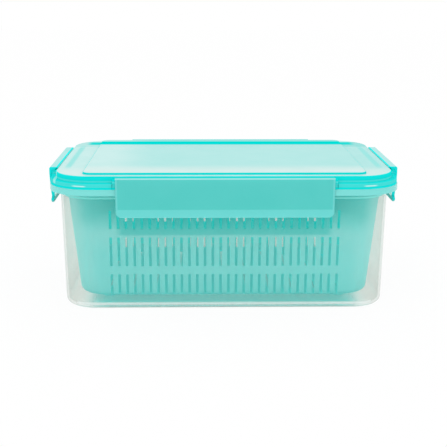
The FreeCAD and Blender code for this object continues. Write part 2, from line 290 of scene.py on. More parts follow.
Ranges = Tuple[Tuple[Along, float, float, float], ...]
LOW_ANGLE_START = 0.70
LOW_ANGLE_FULL = 0.84


@dataclass(frozen=True)
class Region:
    """A soft-edged region of a surface.

    Each range is what it is measured along, its low and high end and how far it
    fades past them: in millimetres, but plain numbers for TOP and OUT.
    """

    ranges: Ranges = ()
    strength: float = 1.0

    def share(self, shader: Shader) -> Number:
        """Return the strength inside the region and 0 outside.

        Args:
            shader: the node tree's builder.

        Returns:
            The product of the ranges' soft steps, or the strength alone without ranges.
        """
        share: Number = self.strength
        for along, low, high, fade in self.ranges:
            if along in (Along.TOP, Along.OUT):
                value = shader.attribute(along.name.lower())
            else:
                value = shader.place(along.name[0])
            if along in (Along.X_SIZE, Along.Y_SIZE):
                value = value.at_least(0 - value)
            share = value.step(low - fade, low) * value.step(high + fade, high) * share
        return share


@dataclass(frozen=True)
class Zone:
    """A region with a colour of its own.

    A low-angle zone stands for the tint that see-through plastic has, as tinted
    glass does, where one looks along it and so through more of it. It comes in
    while the facing value rises from LOW_ANGLE_START to LOW_ANGLE_FULL.
    """

    colour: Colour
    ranges: Ranges
    strength: float = 1.0
    low_angle: bool = False

    def share(self, shader: Shader) -> Number:
        """Return the zone's strength inside it and 0 outside.

        Args:
            shader: the node tree's builder.

        Returns:
            The share of the zone's colour.
        """
        share = Region(self.ranges, self.strength).share(shader)
        if self.low_angle:
            share = shader.facing().step(LOW_ANGLE_START, LOW_ANGLE_FULL) * share
        return share


@dataclass(frozen=True)
class ClearPlastic:
    """Clear, faintly frosted plastic: hazier and greyer where it is seen edge on.

    A zone's strength is how much haze it adds. In order, the zones are a painted
    reflection of the basket in the floor, the basket's teal light painted into the front
    wall's haze, a deeper painted veil on the back wall for the shade behind the basket's
    slots, painted teal light from the lid in the flange and skirt, and a painted
    highlight and a painted deep teal line along the base's long edges.
    """

    name: str = "clear_plastic"
    haze_colour: Colour = (0.74, 0.70, 0.65)
    edge_colour: Colour = (0.57, 0.575, 0.535)
    zones: Tuple[Zone, ...] = (
        # painted reflection of the basket in the tub's floor
        Zone(
            (0.14, 1.0, 0.97),
            ((Along.Z, -1.0, 3.0, 2.0), (Along.X_SIZE, 0.0, 100.0, 34.0), (Along.Y_SIZE, 0.0, 88.0, 6.0)),
            0.62,
        ),
        # the basket's teal light painted into the front wall's haze
        Zone(
            (0.30, 0.74, 0.71),
            ((Along.Y, -99.0, -88.0, 1.0), (Along.Z, 8.0, 46.0, 40.0), (Along.X_SIZE, 0.0, 108.0, 14.0)),
            0.15,
        ),
        # painted shade on the back wall, dimming what shows through the basket's slots
        Zone(
            (0.26, 0.68, 0.64),
            ((Along.Y, 88.0, 99.0, 1.0), (Along.Z, 8.0, 60.0, 34.0), (Along.X_SIZE, 0.0, 108.0, 14.0)),
            0.36,
        ),
        # painted teal light from the lid in the flange and skirt
        Zone((0.22, 0.80, 0.76), ((Along.Z, 100.6, 106.6, 0.5),), 0.85),
        # painted highlight along the base's rounded long edges
        Zone((0.92, 0.96, 0.94), ((Along.Z, 4.2, 5.6, 0.8), (Along.Y_SIZE, 90.0, 110.0, 1.0)), 0.62),
        # painted deep teal line along the base's foot
        Zone((0.20, 0.66, 0.58), ((Along.Z, -1.0, 1.8, 1.0), (Along.Y_SIZE, 88.0, 110.0, 1.0)), 0.36),
    )
    haze: float = 0.035
    haze_variation: float = 0.6
    edge_haze: float = 0.33
    edge_haze_power: float = 2.2
    edge_colour_power: float = 1.5
    base_haze: float = 0.07
    base_haze_top: float = 26.0
    cloud_size: float = 38.0
    roughness: float = 0.20
    roughness_variation: float = 0.10
    refraction: float = 1.49
    grain_size: float = 0.7
    grain: float = 0.004
    clear_tint: Colour = (0.985, 0.995, 0.985)

    def build(self) -> bpy.types.Material:
        """Build the material: a see-through shader with the haze's body mixed in.

        Returns:
            The material.
        """
        material, shader = new_material(self.name)
        facing = shader.facing()
        cloud = shader.noise(self.cloud_size, 3.0)
        base = shader.place("Z").step(self.base_haze_top, 0.0)
        haze = self.haze * (1 + self.haze_variation * (cloud - 0.5))
        haze = haze + self.edge_haze * facing**self.edge_haze_power + self.base_haze * base
        colour = shader.blend(facing**self.edge_colour_power, self.haze_colour, self.edge_colour)
        for zone in self.zones:
            share = zone.share(shader)
            haze = haze.at_least(share)
            colour = shader.blend(share * (1 / zone.strength), colour, zone.colour)
        body = shader.node(
            "ShaderNodeBsdfPrincipled",
            {
                "Base Color": colour,
                "Roughness": self.roughness + self.roughness_variation * (cloud - 0.5),
                "IOR": self.refraction,
                "Normal": shader.bump(shader.noise(self.grain_size), self.grain),
            },
        )
        clear = shader.node("ShaderNodeBsdfTransparent", {"Color": (*self.clear_tint, 1.0)})
        shader.finish(shader.mix(haze, clear, body))
        return material


@dataclass(frozen=True)
class TealPlastic:
    """Satin teal plastic that lets some light through, with zones of other tones, painted light and shade
    among them.

    A painted glow, an emission, stands in for light that the plastic gathers: it shines
    evenly in the glow colour, or only out of the lit zones where there are any.
    """

    name: str
    colour: Colour
    zones: Tuple[Zone, ...] = ()
    gloss: Region = Region((), 0.3)
    gloss_roughness: float = 0.22
    roughness: float = 0.36
    roughness_variation: float = 0.12
    glow: float = 0.0
    glow_colour: Colour = (0.08, 0.95, 0.90)
    # strength of the painted glow, an emission
    inner_light: float = 0.0
    lit: Tuple[Zone, ...] = ()
    cloud_size: float = 30.0
    cloud_tone: Colour = (0.92, 0.985, 0.98)
    grain_size: float = 0.55
    grain: float = 0.006

    def tone(self, shader: Shader, cloud: Field) -> Field:
        """Return the surface's colour, painted light and shade included.

        Args:
            shader: the node tree's builder.
            cloud: the noise that makes the tone uneven.

        Returns:
            The colour with its zones, deeper by the cloud tone inside the clouds.
        """
        colour: Paint = self.colour
        for zone in self.zones:
            colour = shader.blend(zone.share(shader), colour, zone.colour)
        factors: Dict[Key, Input] = {0: colour, 1: self.cloud_tone}
        deeper = shader.node("ShaderNodeVectorMath", factors, operation="MULTIPLY")
        return shader.blend(cloud.step(0.35, 0.75), colour, deeper)

    def light(self, shader: Shader) -> Input:
        """Return the colour of the painted glow from inside.

        Args:
            shader: the node tree's builder.

        Returns:
            The glow colour, or black with the lit zones' colours in them.
        """
        if not self.lit:
            return (*self.glow_colour, 1.0)
        light: Paint = (0.0, 0.0, 0.0)
        for zone in self.lit:
            light = shader.blend(zone.share(shader), light, zone.colour)
        return light

    def build(self) -> bpy.types.Material:
        """Build the material: satin plastic with its painted glow, and light through it where it glows.

        Returns:
            The material.
        """
        material, shader = new_material(self.name)
        cloud = shader.noise(self.cloud_size, 3.0)
        normal = shader.bump(shader.noise(self.grain_size, 3.0, 0.6), self.grain)
        surface = shader.node(
            "ShaderNodeBsdfPrincipled",
            {
                "Base Color": self.tone(shader, cloud),
                "Roughness": self.roughness + self.roughness_variation * (cloud - 0.5),
                "Specular IOR Level": 0.0,
                "Coat Weight": self.gloss.share(shader),
                "Coat Roughness": self.gloss_roughness,
                # the painted glow: an emission in the glow colour or in the lit zones' colours
                "Emission Color": self.light(shader),
                "Emission Strength": self.inner_light,
                "Normal": normal,
            },
        )
        if self.glow:
            through: Dict[Key, Input] = {"Color": (*self.glow_colour, 1.0), "Normal": normal}
            surface = shader.mix(self.glow, surface, shader.node("ShaderNodeBsdfTranslucent", through))
        shader.finish(surface)
        return material


@dataclass(frozen=True)
class MilkySilicone:
    """Soft milky rubber of the seal ring, a little darker in its clouds."""

    name: str = "milky_silicone"
    colour: Colour = (0.80, 0.90, 0.88)
    cloud_colour: Colour = (0.68, 0.765, 0.748)
    cloud_share: float = 0.3
    cloud_size: float = 9.0
    roughness: float = 0.55
    roughness_variation: float = 0.15
    grain_size: float = 0.4
    grain: float = 0.006

    def build(self) -> bpy.types.Material:
        """Build the material.

        Returns:
            The material.
        """
        material, shader = new_material(self.name)
        cloud = shader.noise(self.cloud_size, 3.0)
        body = shader.node(
            "ShaderNodeBsdfPrincipled",
            {
                "Base Color": shader.blend(self.cloud_share * cloud, self.colour, self.cloud_colour),
                "Roughness": self.roughness + self.roughness_variation * (cloud - 0.5),
                "Normal": shader.bump(shader.noise(self.grain_size), self.grain),
            },
        )
        shader.finish(body)
        return material


# Shapes


@dataclass(frozen=True)
class Stations:
    """Places of a walk round a rectangle with round corners.

    A station is a corner sign (ux, uy), an outward direction (nx, ny) and a
    distance along a side (dx, dy). On an outline with half sides a, b and corner
    radius r it stands at (ux (a - r) + nx r + dx, uy (b - r) + ny r + dy).
    """

    ux: np.ndarray
    uy: np.ndarray
    nx: np.ndarray
    ny: np.ndarray
    dx: np.ndarray
    dy: np.ndarray

    @classmethod
    def round_walk(
        cls, corner_steps: int, along_x: Sequence[float] = (), along_y: Sequence[float] = ()
    ) -> "Stations":
        """Return the whole walk, anticlockwise from the back end of the right side.

        Args:
            corner_steps: steps in each quarter circle.
            along_x: extra places along the front and back, in millimetres.
            along_y: extra places along the left and right sides.

        Returns:
            The stations in order.
        """
        rows: List[np.ndarray] = []
        for turn, (ux, uy) in enumerate(((1, 1), (-1, 1), (-1, -1), (1, -1))):
            angle = math.pi / 2 * (turn + np.linspace(0, 1, corner_steps + 1))
            ones, zeros = np.ones_like(angle), np.zeros_like(angle)
            rows.append(np.stack([ux * ones, uy * ones, np.cos(angle), np.sin(angle), zeros, zeros]))
            runs_along_x = turn % 2 == 0
            along = np.sort(np.array(along_x if runs_along_x else along_y, float))
            along = along[::-1] if turn < 2 else along
            ones, zeros = np.ones_like(along), np.zeros_like(along)
            if runs_along_x:
                rows.append(np.stack([zeros, uy * ones, zeros, uy * ones, along, zeros]))
            else:
                rows.append(np.stack([ux * ones, zeros, ux * ones, zeros, zeros, along]))
        return cls(*np.concatenate(rows, axis=1))

    @classmethod
    def whole_rim(cls) -> "Stations":
        """Return the walk that tub, cap and seal share, with a few places on each side."""
        return cls.round_walk(20, along_x=np.linspace(-100, 100, 9), along_y=np.linspace(-60, 60, 5))

    @classmethod
    def round_corner(cls, signs: Tuple[int, int], run_x: float, run_y: float, steps: int) -> "Stations":
        """Return an open walk round one corner.

        Args:
            signs: the corner's signs in x and y.
            run_x: where the walk starts on the front or back, as its distance from the middle.
            run_y: where it ends on the left or right side.
            steps: steps in the quarter circle.

        Returns:
            The stations from the front or back to the side.
        """
        sx, sy = signs
        angle = np.linspace(math.pi / 2, 0, steps + 1)
        ones, zeros = np.ones_like(angle), np.zeros_like(angle)
        start = np.array([[0], [sy], [0], [sy], [sx * run_x], [0]], float)
        arc = np.stack([sx * ones, sy * ones, sx * np.cos(angle), sy * np.sin(angle), zeros, zeros])
        stop = np.array([[sx], [0], [sx], [0], [0], [sy * run_y]], float)
        return cls(*np.concatenate([start, arc, stop], axis=1))

    def points(self, profile: np.ndarray, length: float, depth: float) -> np.ndarray:
        """Carry a profile along the walk.

        Args:
            profile: rows of outset, height, corner radius and, where a fourth
                column is given, how much shorter the outline is at each end.
            length: length of the rectangle whose outset is 0.
            depth: its depth.

        Returns:
            Points by profile row and station, in millimetres.
        """
        outset, height, radius = (column[:, None] for column in profile.T[:3])
        shorter = profile[:, 3:4] if profile.shape[1] > 3 else 0.0
        a = length / 2 + outset - radius - shorter
        b = depth / 2 + outset - radius
        x = self.ux * a + self.nx * radius + self.dx
        y = self.uy * b + self.ny * radius + self.dy
        return np.stack([x, y, height + np.zeros_like(x)], axis=-1)


def softened(
    points: Sequence[Sequence[float]], radii: Sequence[float], steps: int = 4, closed: bool = False
) -> np.ndarray:
    """Round the corners of a profile.

    A corner between directions u and v becomes an arc of radius R about the point
    R / sin(half angle) along their middle line. Columns past the second, such as
    the corner radius, run evenly through the arc.

    Args:
        points: rows of outset, height and more columns.
        radii: the rounding at each point, 0 for none.
        steps: steps in each arc.
        closed: whether the last point joins the first.

    Returns:
        The rows of the softened profile.
    """
    rows = np.asarray(points, float)
    made: List[np.ndarray] = []
    count = len(rows)
    for i, size in enumerate(radii):
        if size <= 0 or (not closed and i in (0, count - 1)):
            made.append(rows[i : i + 1])
            continue
        here, before, after = rows[i], rows[i - 1], rows[(i + 1) % count]
        u, v = before - here, after - here
        reach_u, reach_v = np.hypot(*u[:2]), np.hypot(*v[:2])
        cosine = np.dot(u[:2], v[:2]) / (reach_u * reach_v)
        half = math.acos(max(-1.0, min(1.0, cosine))) / 2
        tangent = min(size / math.tan(half), 0.49 * reach_u, 0.49 * reach_v)
        start, stop = here + u * (tangent / reach_u), here + v * (tangent / reach_v)
        arc = math.pi - 2 * half
        middle = here[:2] + (start[:2] + stop[:2] - 2 * here[:2]) / (2 * math.cos(half) ** 2)
        share = np.linspace(0, 1, steps + 1)[:, None]
        flat = middle + (
            np.sin((1 - share) * arc) * (start[:2] - middle) + np.sin(share * arc) * (stop[:2] - middle)
        ) / math.sin(arc)
        rest = start[2:] + share * (stop[2:] - start[2:])
        made.append(np.concatenate([flat, rest], axis=1))
    return np.concatenate(made)


def rounded_rows(rows: Sequence[Tuple[Point, float]], steps: int) -> np.ndarray:
    """Return the softened profile of points that are each given with their rounding."""
    return softened([point for point, _ in rows], [radius for _, radius in rows], steps)


class Surface:
    """A growing mesh: points in millimetres and faces as lists of point numbers."""

    def __init__(self) -> None:
        """Start empty."""
        self.points: List[np.ndarray] = []
        self.faces: List[List[int]] = []
        self.count = 0

    def add(self, points: np.ndarray) -> int:
        """Add points.

        Args:
            points: an array whose last axis is x, y and z in millimetres.

        Returns:
            The number of the first point.
        """
        flat = points.reshape(-1, 3)
        first = self.count
        self.points.append(flat)
        self.count += len(flat)
        return first

    def quads(self, a: np.ndarray, b: np.ndarray, c: np.ndarray, d: np.ndarray) -> None:
        """Add a face for each place of four equal arrays of point numbers."""
        self.faces.extend(np.stack([a.ravel(), b.ravel(), c.ravel(), d.ravel()], axis=1).tolist())

    def sweep(
        self, grid: np.ndarray, loop: bool, round_walk: bool, open_cells: Optional[np.ndarray] = None
    ) -> np.ndarray:
        """Add a grid of points with a face between each four neighbours.

        Args:
            grid: points by row and station.
            loop: whether the last row joins the first.
            round_walk: whether the last station joins the first.
            open_cells: cells that get no face.

        Returns:
            The point numbers by row and station.
        """
        first = self.add(grid)
        rows, places = grid.shape[:2]
        index = first + np.arange(rows * places).reshape(rows, places)
        down = np.roll(index, -1, axis=0) if loop else index[1:]
        here = index if loop else index[:-1]
        if round_walk:
            a, b = here, np.roll(here, -1, axis=1)
            c, d = np.roll(down, -1, axis=1), down
        else:
            a, b, c, d = here[:, :-1], here[:, 1:], down[:, 1:], down[:, :-1]
        keep = np.ones(a.shape, bool) if open_cells is None else ~open_cells
        self.quads(a[keep], b[keep], c[keep], d[keep])
        return index

    def cap(self, edge: np.ndarray, backwards: bool) -> None:
        """Close an edge with one flat face."""
        numbers = edge.tolist()
        self.faces.append(numbers[::-1] if backwards else numbers)

    def turned_body(self, grid: np.ndarray) -> None:
        """Add an open profile carried all the way round, its first and last row closed.

        Args:
            grid: points by profile row and station.
        """
        index = self.sweep(grid, loop=False, round_walk=True)
        self.cap(index[0], backwards=True)
        self.cap(index[-1], backwards=False)

    def bar(self, grid: np.ndarray) -> None:
        """Add a closed section carried along an open walk, both ends closed.

        Args:
            grid: points by section row and station.
        """
        index = self.sweep(grid, loop=True, round_walk=False)
        self.cap(index[:, 0], backwards=False)
        self.cap(index[:, -1], backwards=True)

    def volume(self) -> float:
        """Return the enclosed volume, below 0 where the faces point inwards.

        The volume is the sum over the faces' triangles of a . (b x c) / 6.

        Returns:
            The volume in cubic millimetres.
        """
        points = np.concatenate(self.points)
        sizes = np.array([len(f) for f in self.faces])
        total = 0.0
        for size in np.unique(sizes):
            rows = np.array([f for f in self.faces if len(f) == size])
            first = points[rows[:, 0]]
            for i in range(1, size - 1):
                cross = np.cross(points[rows[:, i]], points[rows[:, i + 1]])
                total += float((first * cross).sum())
        return total / 6

    def mesh(self, name: str, sharp: float = 32.0) -> bpy.types.Mesh:
        """Return the mesh in metres with its faces outwards.

        Each face carries how far it faces up, its normal's z, and how far it faces
        away from the middle, the sum of nx sign(x) and ny sign(y).

        Args:
            name: the mesh's name.
            sharp: edges that bend more than this many degrees stay crisp.

        Returns:
            The finished mesh.
        """
        faces = self.faces if self.volume() > 0 else [f[::-1] for f in self.faces]
        mesh = bpy.data.meshes.new(name)
        mesh.from_pydata((np.concatenate(self.points) * MM).tolist(), [], faces)
        mesh.validate()
        normals = np.zeros((len(mesh.polygons), 3))
        middles = np.zeros_like(normals)
        mesh.polygons.foreach_get("normal", normals.ravel())
        mesh.polygons.foreach_get("center", middles.ravel())
        outward = (normals * np.sign(middles))[:, :2].sum(axis=1)
        for label, values in (("top", normals[:, 2]), ("out", outward)):
            attribute = mesh.attributes.new(label, "FLOAT", "FACE")
            attribute.data.foreach_set("value", values.astype(np.float32))
        mesh.shade_smooth()
        mesh.set_sharp_from_angle(angle=math.radians(sharp))
        return mesh


def piece(
    name: str, surface: Surface, material: bpy.types.Material, body: str, nodes: Sequence[str]
) -> bpy.types.Object:
    """Put a surface into the scene as a finished piece.

    Args:
        name: the piece's name.
        surface: its surface.
        material: its finish.
        body: the body that it moves with.
        nodes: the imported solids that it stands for.

    Returns:
        The object.
    """
    mesh = surface.mesh(name)
    mesh.materials.append(material)
    made = bpy.data.objects.new(name, mesh)
    bpy.context.scene.collection.objects.link(made)
    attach(made, body)
    if nodes:
        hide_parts(*nodes)
    log.info("%s: %d faces on %s", name, len(mesh.polygons), body)
    return made


def quarter_turns(points: np.ndarray, side: Side) -> np.ndarray:
    """Turn points from the front to another side, by quarter turns about Z.

    Args:
        points: an array whose last axis is x, y and z.
        side: the side that they belong to.

    Returns:
        The turned points.
    """
    x, y, z = points[..., 0], points[..., 1], points[..., 2]
    for _ in range(side.value):
        x, y = -y, x
    return np.stack([x, y, z], axis=-1)


# The parts of the box


@dataclass(frozen=True)
class Sizes:
    """Sizes that several parts share, in millimetres.

    The length, depth and corner are those of the rim's outline. An outset is
    measured outwards from that outline, and a height from the ground.
    """

    length: float = 281.6
    depth: float = 196.2
    corner: float = 30.1
    rim_top: float = 110.5
    wall: float = 2.0
    draft: float = 2.3
    flange_top: float = 106.5
    skirt_foot: float = 101.0
    flange_reach: float = 8.5
    lid_outset: float = 3.2
    channel_roof: float = 114.8
    ledge_top: float = 116.8
    hinge_out: float = 0.9
    hinge_height: float = 116.2
    long_latch: float = 181.2
    long_latch_drop: float = 33.7
    short_latch: float = 111.8
    short_latch_drop: float = 31.8

    def ring(self, outset: float, height: float) -> Tuple[float, float, float]:
        """Return a profile point whose corners stay concentric with the rim's."""
        return (outset, height, self.corner + outset)


@dataclass
class Tub:
    """Clear tub: leaning walls, base ring, rim and flange with a skirt.

    The base stands on a ring, inside which it is hollow by a small height. The
    flange is a plate round the wall, from whose edge the skirt hangs down.
    """

    sizes: Sizes
    finish: ClearPlastic
    base_round: float = 6.0
    base_ring: float = 12.0
    base_hollow: float = 0.7
    floor: float = 2.2
    floor_inset: float = 14.0
    floor_corner: float = 16.1
    inner_round: float = 4.0
    wall_rows: Tuple[float, ...] = (40.0, 80.0)
    plate: float = 1.8
    skirt_wall: float = 1.8

    def outside(self, height: float) -> Tuple[float, float, float]:
        """Return the outer wall's profile point at a height."""
        s = self.sizes
        return (-s.draft * (s.rim_top - height) / s.rim_top, height, s.corner)

    def inside(self, height: float) -> Tuple[float, float, float]:
        """Return the inner wall's profile point at a height."""
        s = self.sizes
        return (-s.wall - s.draft * (s.rim_top - height) / s.rim_top, height, s.corner - s.wall)

    def build(self) -> None:
        """Build the tub as one closed surface, its profile carried round the outline."""
        s = self.sizes
        under = s.flange_top - self.plate
        inner_skirt = s.flange_reach - self.skirt_wall
        rows = [
            (s.ring(-s.draft - self.base_ring, self.base_hollow), 0),
            (s.ring(-s.draft - self.base_ring, 0.0), 0.3),
            (self.outside(0.0), self.base_round),
            *[(self.outside(height), 0) for height in self.wall_rows],
            (self.outside(under), 0.8),
            (s.ring(inner_skirt, under), 0.5),
            (s.ring(inner_skirt, s.skirt_foot), 0.4),
            (s.ring(s.flange_reach, s.skirt_foot), 0.6),
            (s.ring(s.flange_reach, s.flange_top), 0.5),
            (self.outside(s.flange_top), 0.6),
            (self.outside(s.rim_top), 0.6),
            (self.inside(s.rim_top), 0.6),
            *[(self.inside(height), 0) for height in self.wall_rows[::-1]],
            (self.inside(self.floor), self.inner_round),
            ((-s.wall - self.floor_inset, self.floor, self.floor_corner), 0),
        ]
        profile = rounded_rows(rows, steps=6)
        surface = Surface()
        surface.turned_body(Stations.whole_rim().points(profile, s.length, s.depth))
        piece("tub", surface, self.finish.build(), "container", ["outer_box"])


@dataclass
class Basket:
    """Drain basket: stepped rim, leaning walls and floor with slots, four feet.

    The draft is how far the walls lean in from top to foot, and the bend is the
    round from the walls into the floor. Each row's share is its height over the
    wall's. The ground is the height of the tub's floor, on which the feet stand.
    """

    sizes: Sizes
    finish: TealPlastic
    top: float = 103.3
    foot: float = 8.0
    wall: float = 1.6
    floor: float = 1.8
    draft: float = 9.0
    corner: float = 22.0
    bend: float = 5.0
    rim_outset: float = -3.0
    rim_height: float = 7.3
    rim_reach: float = 3.2
    rim_band: float = 1.0
    slot_width: float = 2.3
    slot_pitch: float = 6.7
    long_slots: int = 30
    end_slots: int = 13
    row_shares: Tuple[float, ...] = (0.189, 0.273, 0.173)
    row_gap: float = 7.5
    row_start: float = 2.0
    slot_foot: float = 0.3
    floor_slots: int = 11
    floor_pitch: float = 20.1
    floor_row_gap: float = 8.0
    floor_margin: float = 16.0
    foot_inset: float = 24.0
    foot_width: float = 9.0
    foot_corner: float = 1.4
    foot_face: float = 1.0
    foot_round: float = 0.7
    ground: float = 2.2
    skin: float = 0.02

    @property
    def outset(self) -> float:
        """Outset of the wall's outside at its top."""
        return self.rim_outset - self.rim_reach

    def rows(self) -> List[Tuple[float, float]]:
        """Work out the rows of slots, each a share of the wall's height.

        Returns:
            The low and high end of each row, the lowest first.
        """
        ends = []
        low = self.foot + self.row_start
        for share in self.row_shares:
            high = low + share * (self.top - self.foot)
            ends.append((low, high))
            low = high + self.row_gap
        return ends

    def side(self, height: float, inner: bool) -> Tuple[float, float, float]:
        """Return a wall's profile point: an even lean, and a round bend above the floor.

        Below the bend's top the wall draws in by R - sqrt(R^2 - (R - rise)^2).

        Args:
            height: the point's height, no lower than the floor on that side.
            inner: whether the point is on the inside.

        Returns:
            Its outset, height and corner radius.
        """
        low = self.foot + (self.floor if inner else 0.0)
        lean = self.draft * (self.top - height) / (self.top - self.foot)
        left = max(0.0, low + self.bend - height)
        drawn_in = self.bend - math.sqrt(self.bend**2 - left**2)
        thick = self.wall if inner else 0.0
        return (self.outset - thick - lean - drawn_in, height, self.corner - thick)

    @staticmethod
    def edges(count: int, pitch: float, width: float) -> np.ndarray:
        """Return both edges of each slot of a centred row, in order."""
        middles = (np.arange(count) - (count - 1) / 2) * pitch
        return np.stack([middles - width / 2, middles + width / 2], axis=1).ravel()

    def wall_profile(self) -> Tuple[np.ndarray, int]:
        """Work out the walls' closed profile: up the outside, over the rim, down the inside.

        Returns:
            The profile, and how many of its rows each wall has below the rim.
        """
        s = self.sizes
        rim_foot = self.top - self.rim_height
        rises = self.bend * (1 - np.cos(np.linspace(0, math.pi / 2, 6)))
        slot_ends = [height for row in self.rows() for height in row]
        heights = [*slot_ends[1:], rim_foot - self.rim_band]
        outer = [self.side(height, False) for height in [*(self.foot + rises), *heights]]
        inner = [self.side(height, True) for height in [*(self.foot + self.floor + rises), *heights]]
        rim = self.rim_outset
        under = self.top - self.wall
        rim_rows = [
            (outer[-1], 0),
            (self.side(under, False), 0.6),
            (s.ring(rim - self.wall, under), 0.5),
            (s.ring(rim - self.wall, rim_foot), 0.4),
            (s.ring(rim, rim_foot), 0.5),
            (s.ring(rim, self.top), 1.2),
            (self.side(self.top, True), 1.0),
            (inner[-1], 0),
        ]
        curve = rounded_rows(rim_rows, steps=4)[1:-1]
        return np.concatenate([np.array(outer), curve, np.array(inner)[::-1]]), len(outer)

    def slot_cells(self, heights: np.ndarray, walk: Stations) -> np.ndarray:
        """Find the cells of one wall that lie in a slot.

        Args:
            heights: the heights of the wall's grid rows, upwards.
            walk: the stations, which have one at each slot's edge.

        Returns:
            Whether each cell is open, by the rows and the stations where the cells start.
        """
        on_side = walk.ux * walk.uy == 0
        along = walk.dx + walk.dy
        narrow = np.isclose(np.abs(np.roll(along, -1) - along), self.slot_width)
        in_column = on_side & np.roll(on_side, -1) & narrow
        middles = (heights[:-1] + heights[1:]) / 2
        in_row = np.zeros(len(middles), bool)
        for number, (low, high) in enumerate(self.rows()):
            start = low if number else self.foot + self.slot_foot
            in_row |= (middles > start) & (middles < high)
        return in_row[:, None] & in_column[None, :]

    def build_wall(self, material: bpy.types.Material) -> None:
        """Build the walls and rim: one closed profile carried round the outline.

        The cells inside the slots get no face on either side, and four faces
        between the outer and the inner wall line each slot. The lowest row's slots
        run into the bend, nearly down to the floor.

        Args:
            material: the basket's finish.
        """
        profile, levels = self.wall_profile()
        long_edges = self.edges(self.long_slots, self.slot_pitch, self.slot_width)
        end_edges = self.edges(self.end_slots, self.slot_pitch, self.slot_width)
        walk = Stations.round_walk(16, long_edges, end_edges)
        slots = self.slot_cells(profile[:levels, 1], walk)
        open_cells = np.zeros((len(profile), len(walk.ux)), bool)
        open_cells[: levels - 1] = slots
        open_cells[-levels:-1] = slots[::-1]

        surface = Surface()
        grid = walk.points(profile, self.sizes.length, self.sizes.depth)
        index = surface.sweep(grid, loop=True, round_walk=True, open_cells=open_cells)
        walls = (index[:levels], index[::-1][:levels])
        rows, columns = np.nonzero(slots != np.roll(slots, 1, axis=1))
        self.line_edges(surface, walls, (rows, columns), (rows + 1, columns), slots[rows, columns])
        padded = np.pad(slots, ((1, 1), (0, 0)))
        rows, columns = np.nonzero(padded[1:] != padded[:-1])
        following = (columns + 1) % len(walk.ux)
        self.line_edges(surface, walls, (rows, following), (rows, columns), padded[1:][rows, columns])
        piece("basket_wall", surface, material, "container", ["drain_basket"])

    @staticmethod
    def line_edges(
        surface: Surface,
        walls: Tuple[np.ndarray, np.ndarray],
        start: Tuple[np.ndarray, np.ndarray],
        stop: Tuple[np.ndarray, np.ndarray],
        turned: np.ndarray,
    ) -> None:
        """Add the faces between matching edges of the outer and the inner wall.

        Args:
            surface: the surface that gets the faces.
            walls: the point numbers of the outer and of the inner wall's grid.
            start: rows and columns where the edges start.
            stop: rows and columns where they end.
            turned: which faces are taken the other way round.
        """
        outer, inner = walls
        a, b, c, d = outer[start], outer[stop], inner[stop], inner[start]
        surface.quads(a[turned], d[turned], c[turned], b[turned])
        surface.quads(a[~turned], b[~turned], c[~turned], d[~turned])

    def floor_grid(self) -> Tuple[np.ndarray, np.ndarray]:
        """Work out the floor's grid, which follows the round outline.

        Each column of the grid is a line across the plate. Its ends lie on the
        outline, at half the straight side plus sqrt(r^2 - (x - c)^2) in a corner.

        Returns:
            The points of its upper side, and which cells are open for slots.
        """
        s = self.sizes
        outset, _, radius = self.side(self.foot, False)
        half_x, half_y = s.length / 2 + outset, s.depth / 2 + outset
        core_x = half_x - radius
        arc = core_x + radius * np.sin(np.linspace(0, math.pi / 2, 13)[1:])
        edges = self.edges(self.floor_slots, self.floor_pitch, self.slot_width)
        x = np.unique(np.round(np.concatenate([-arc, [-core_x, core_x], edges, arc]), 6))
        past = np.clip(np.abs(x) - core_x, 0, radius)
        edge = half_y - radius + np.sqrt(np.maximum(radius**2 - past**2, 0.0))
        reach = s.depth / 2 + self.outset - self.draft - self.floor_margin
        gap = self.floor_row_gap / 2
        slot_ends = np.array([-reach, -gap, gap, reach])
        y = np.concatenate([-edge[None], np.clip(slot_ends[:, None], -edge[None], edge[None]), edge[None]])
        height = self.foot + self.floor - self.skin
        middle = (x[1:] + x[:-1]) / 2
        slot_middles = (edges[::2] + edges[1::2]) / 2
        in_slot = (np.abs(middle[:, None] - slot_middles) < self.slot_width / 2).any(axis=1)
        open_cells = np.zeros((len(y) - 1, len(x) - 1), bool)
        open_cells[[1, 3]] = in_slot
        return np.stack([x + 0 * y, y, 0 * y + height], axis=-1), open_cells

    def build_floor(self, material: bpy.types.Material) -> None:
        """Build the slotted floor as a plate between two equal grids.

        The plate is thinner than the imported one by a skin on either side, which
        keeps it inside. Faces between the grids line its rim and its slots.

        Args:
            material: the basket's finish.
        """
        top, open_cells = self.floor_grid()
        low = top - np.array([0, 0, self.floor - 2 * self.skin])
        surface = Surface()
        above = surface.sweep(top, loop=False, round_walk=False, open_cells=open_cells)
        below = surface.add(low) + np.arange(above.size).reshape(above.shape)
        keep = ~open_cells
        a, b, c, d = below[:-1, :-1], below[:-1, 1:], below[1:, 1:], below[1:, :-1]
        surface.quads(a[keep], d[keep], c[keep], b[keep])
        solid = np.pad(keep, 1)
        rows, columns = np.nonzero(solid[1:, 1:-1] != solid[:-1, 1:-1])
        filled = solid[1:, 1:-1][rows, columns]
        self.line_edges(surface, (above, below), (rows, columns), (rows, columns + 1), filled)
        rows, columns = np.nonzero(solid[1:-1, 1:] != solid[1:-1, :-1])
        filled = solid[1:-1, 1:][rows, columns]
        self.line_edges(surface, (above, below), (rows, columns), (rows + 1, columns), ~filled)
        piece("basket_floor_plate", surface, material, "container", ["basket_floor"])

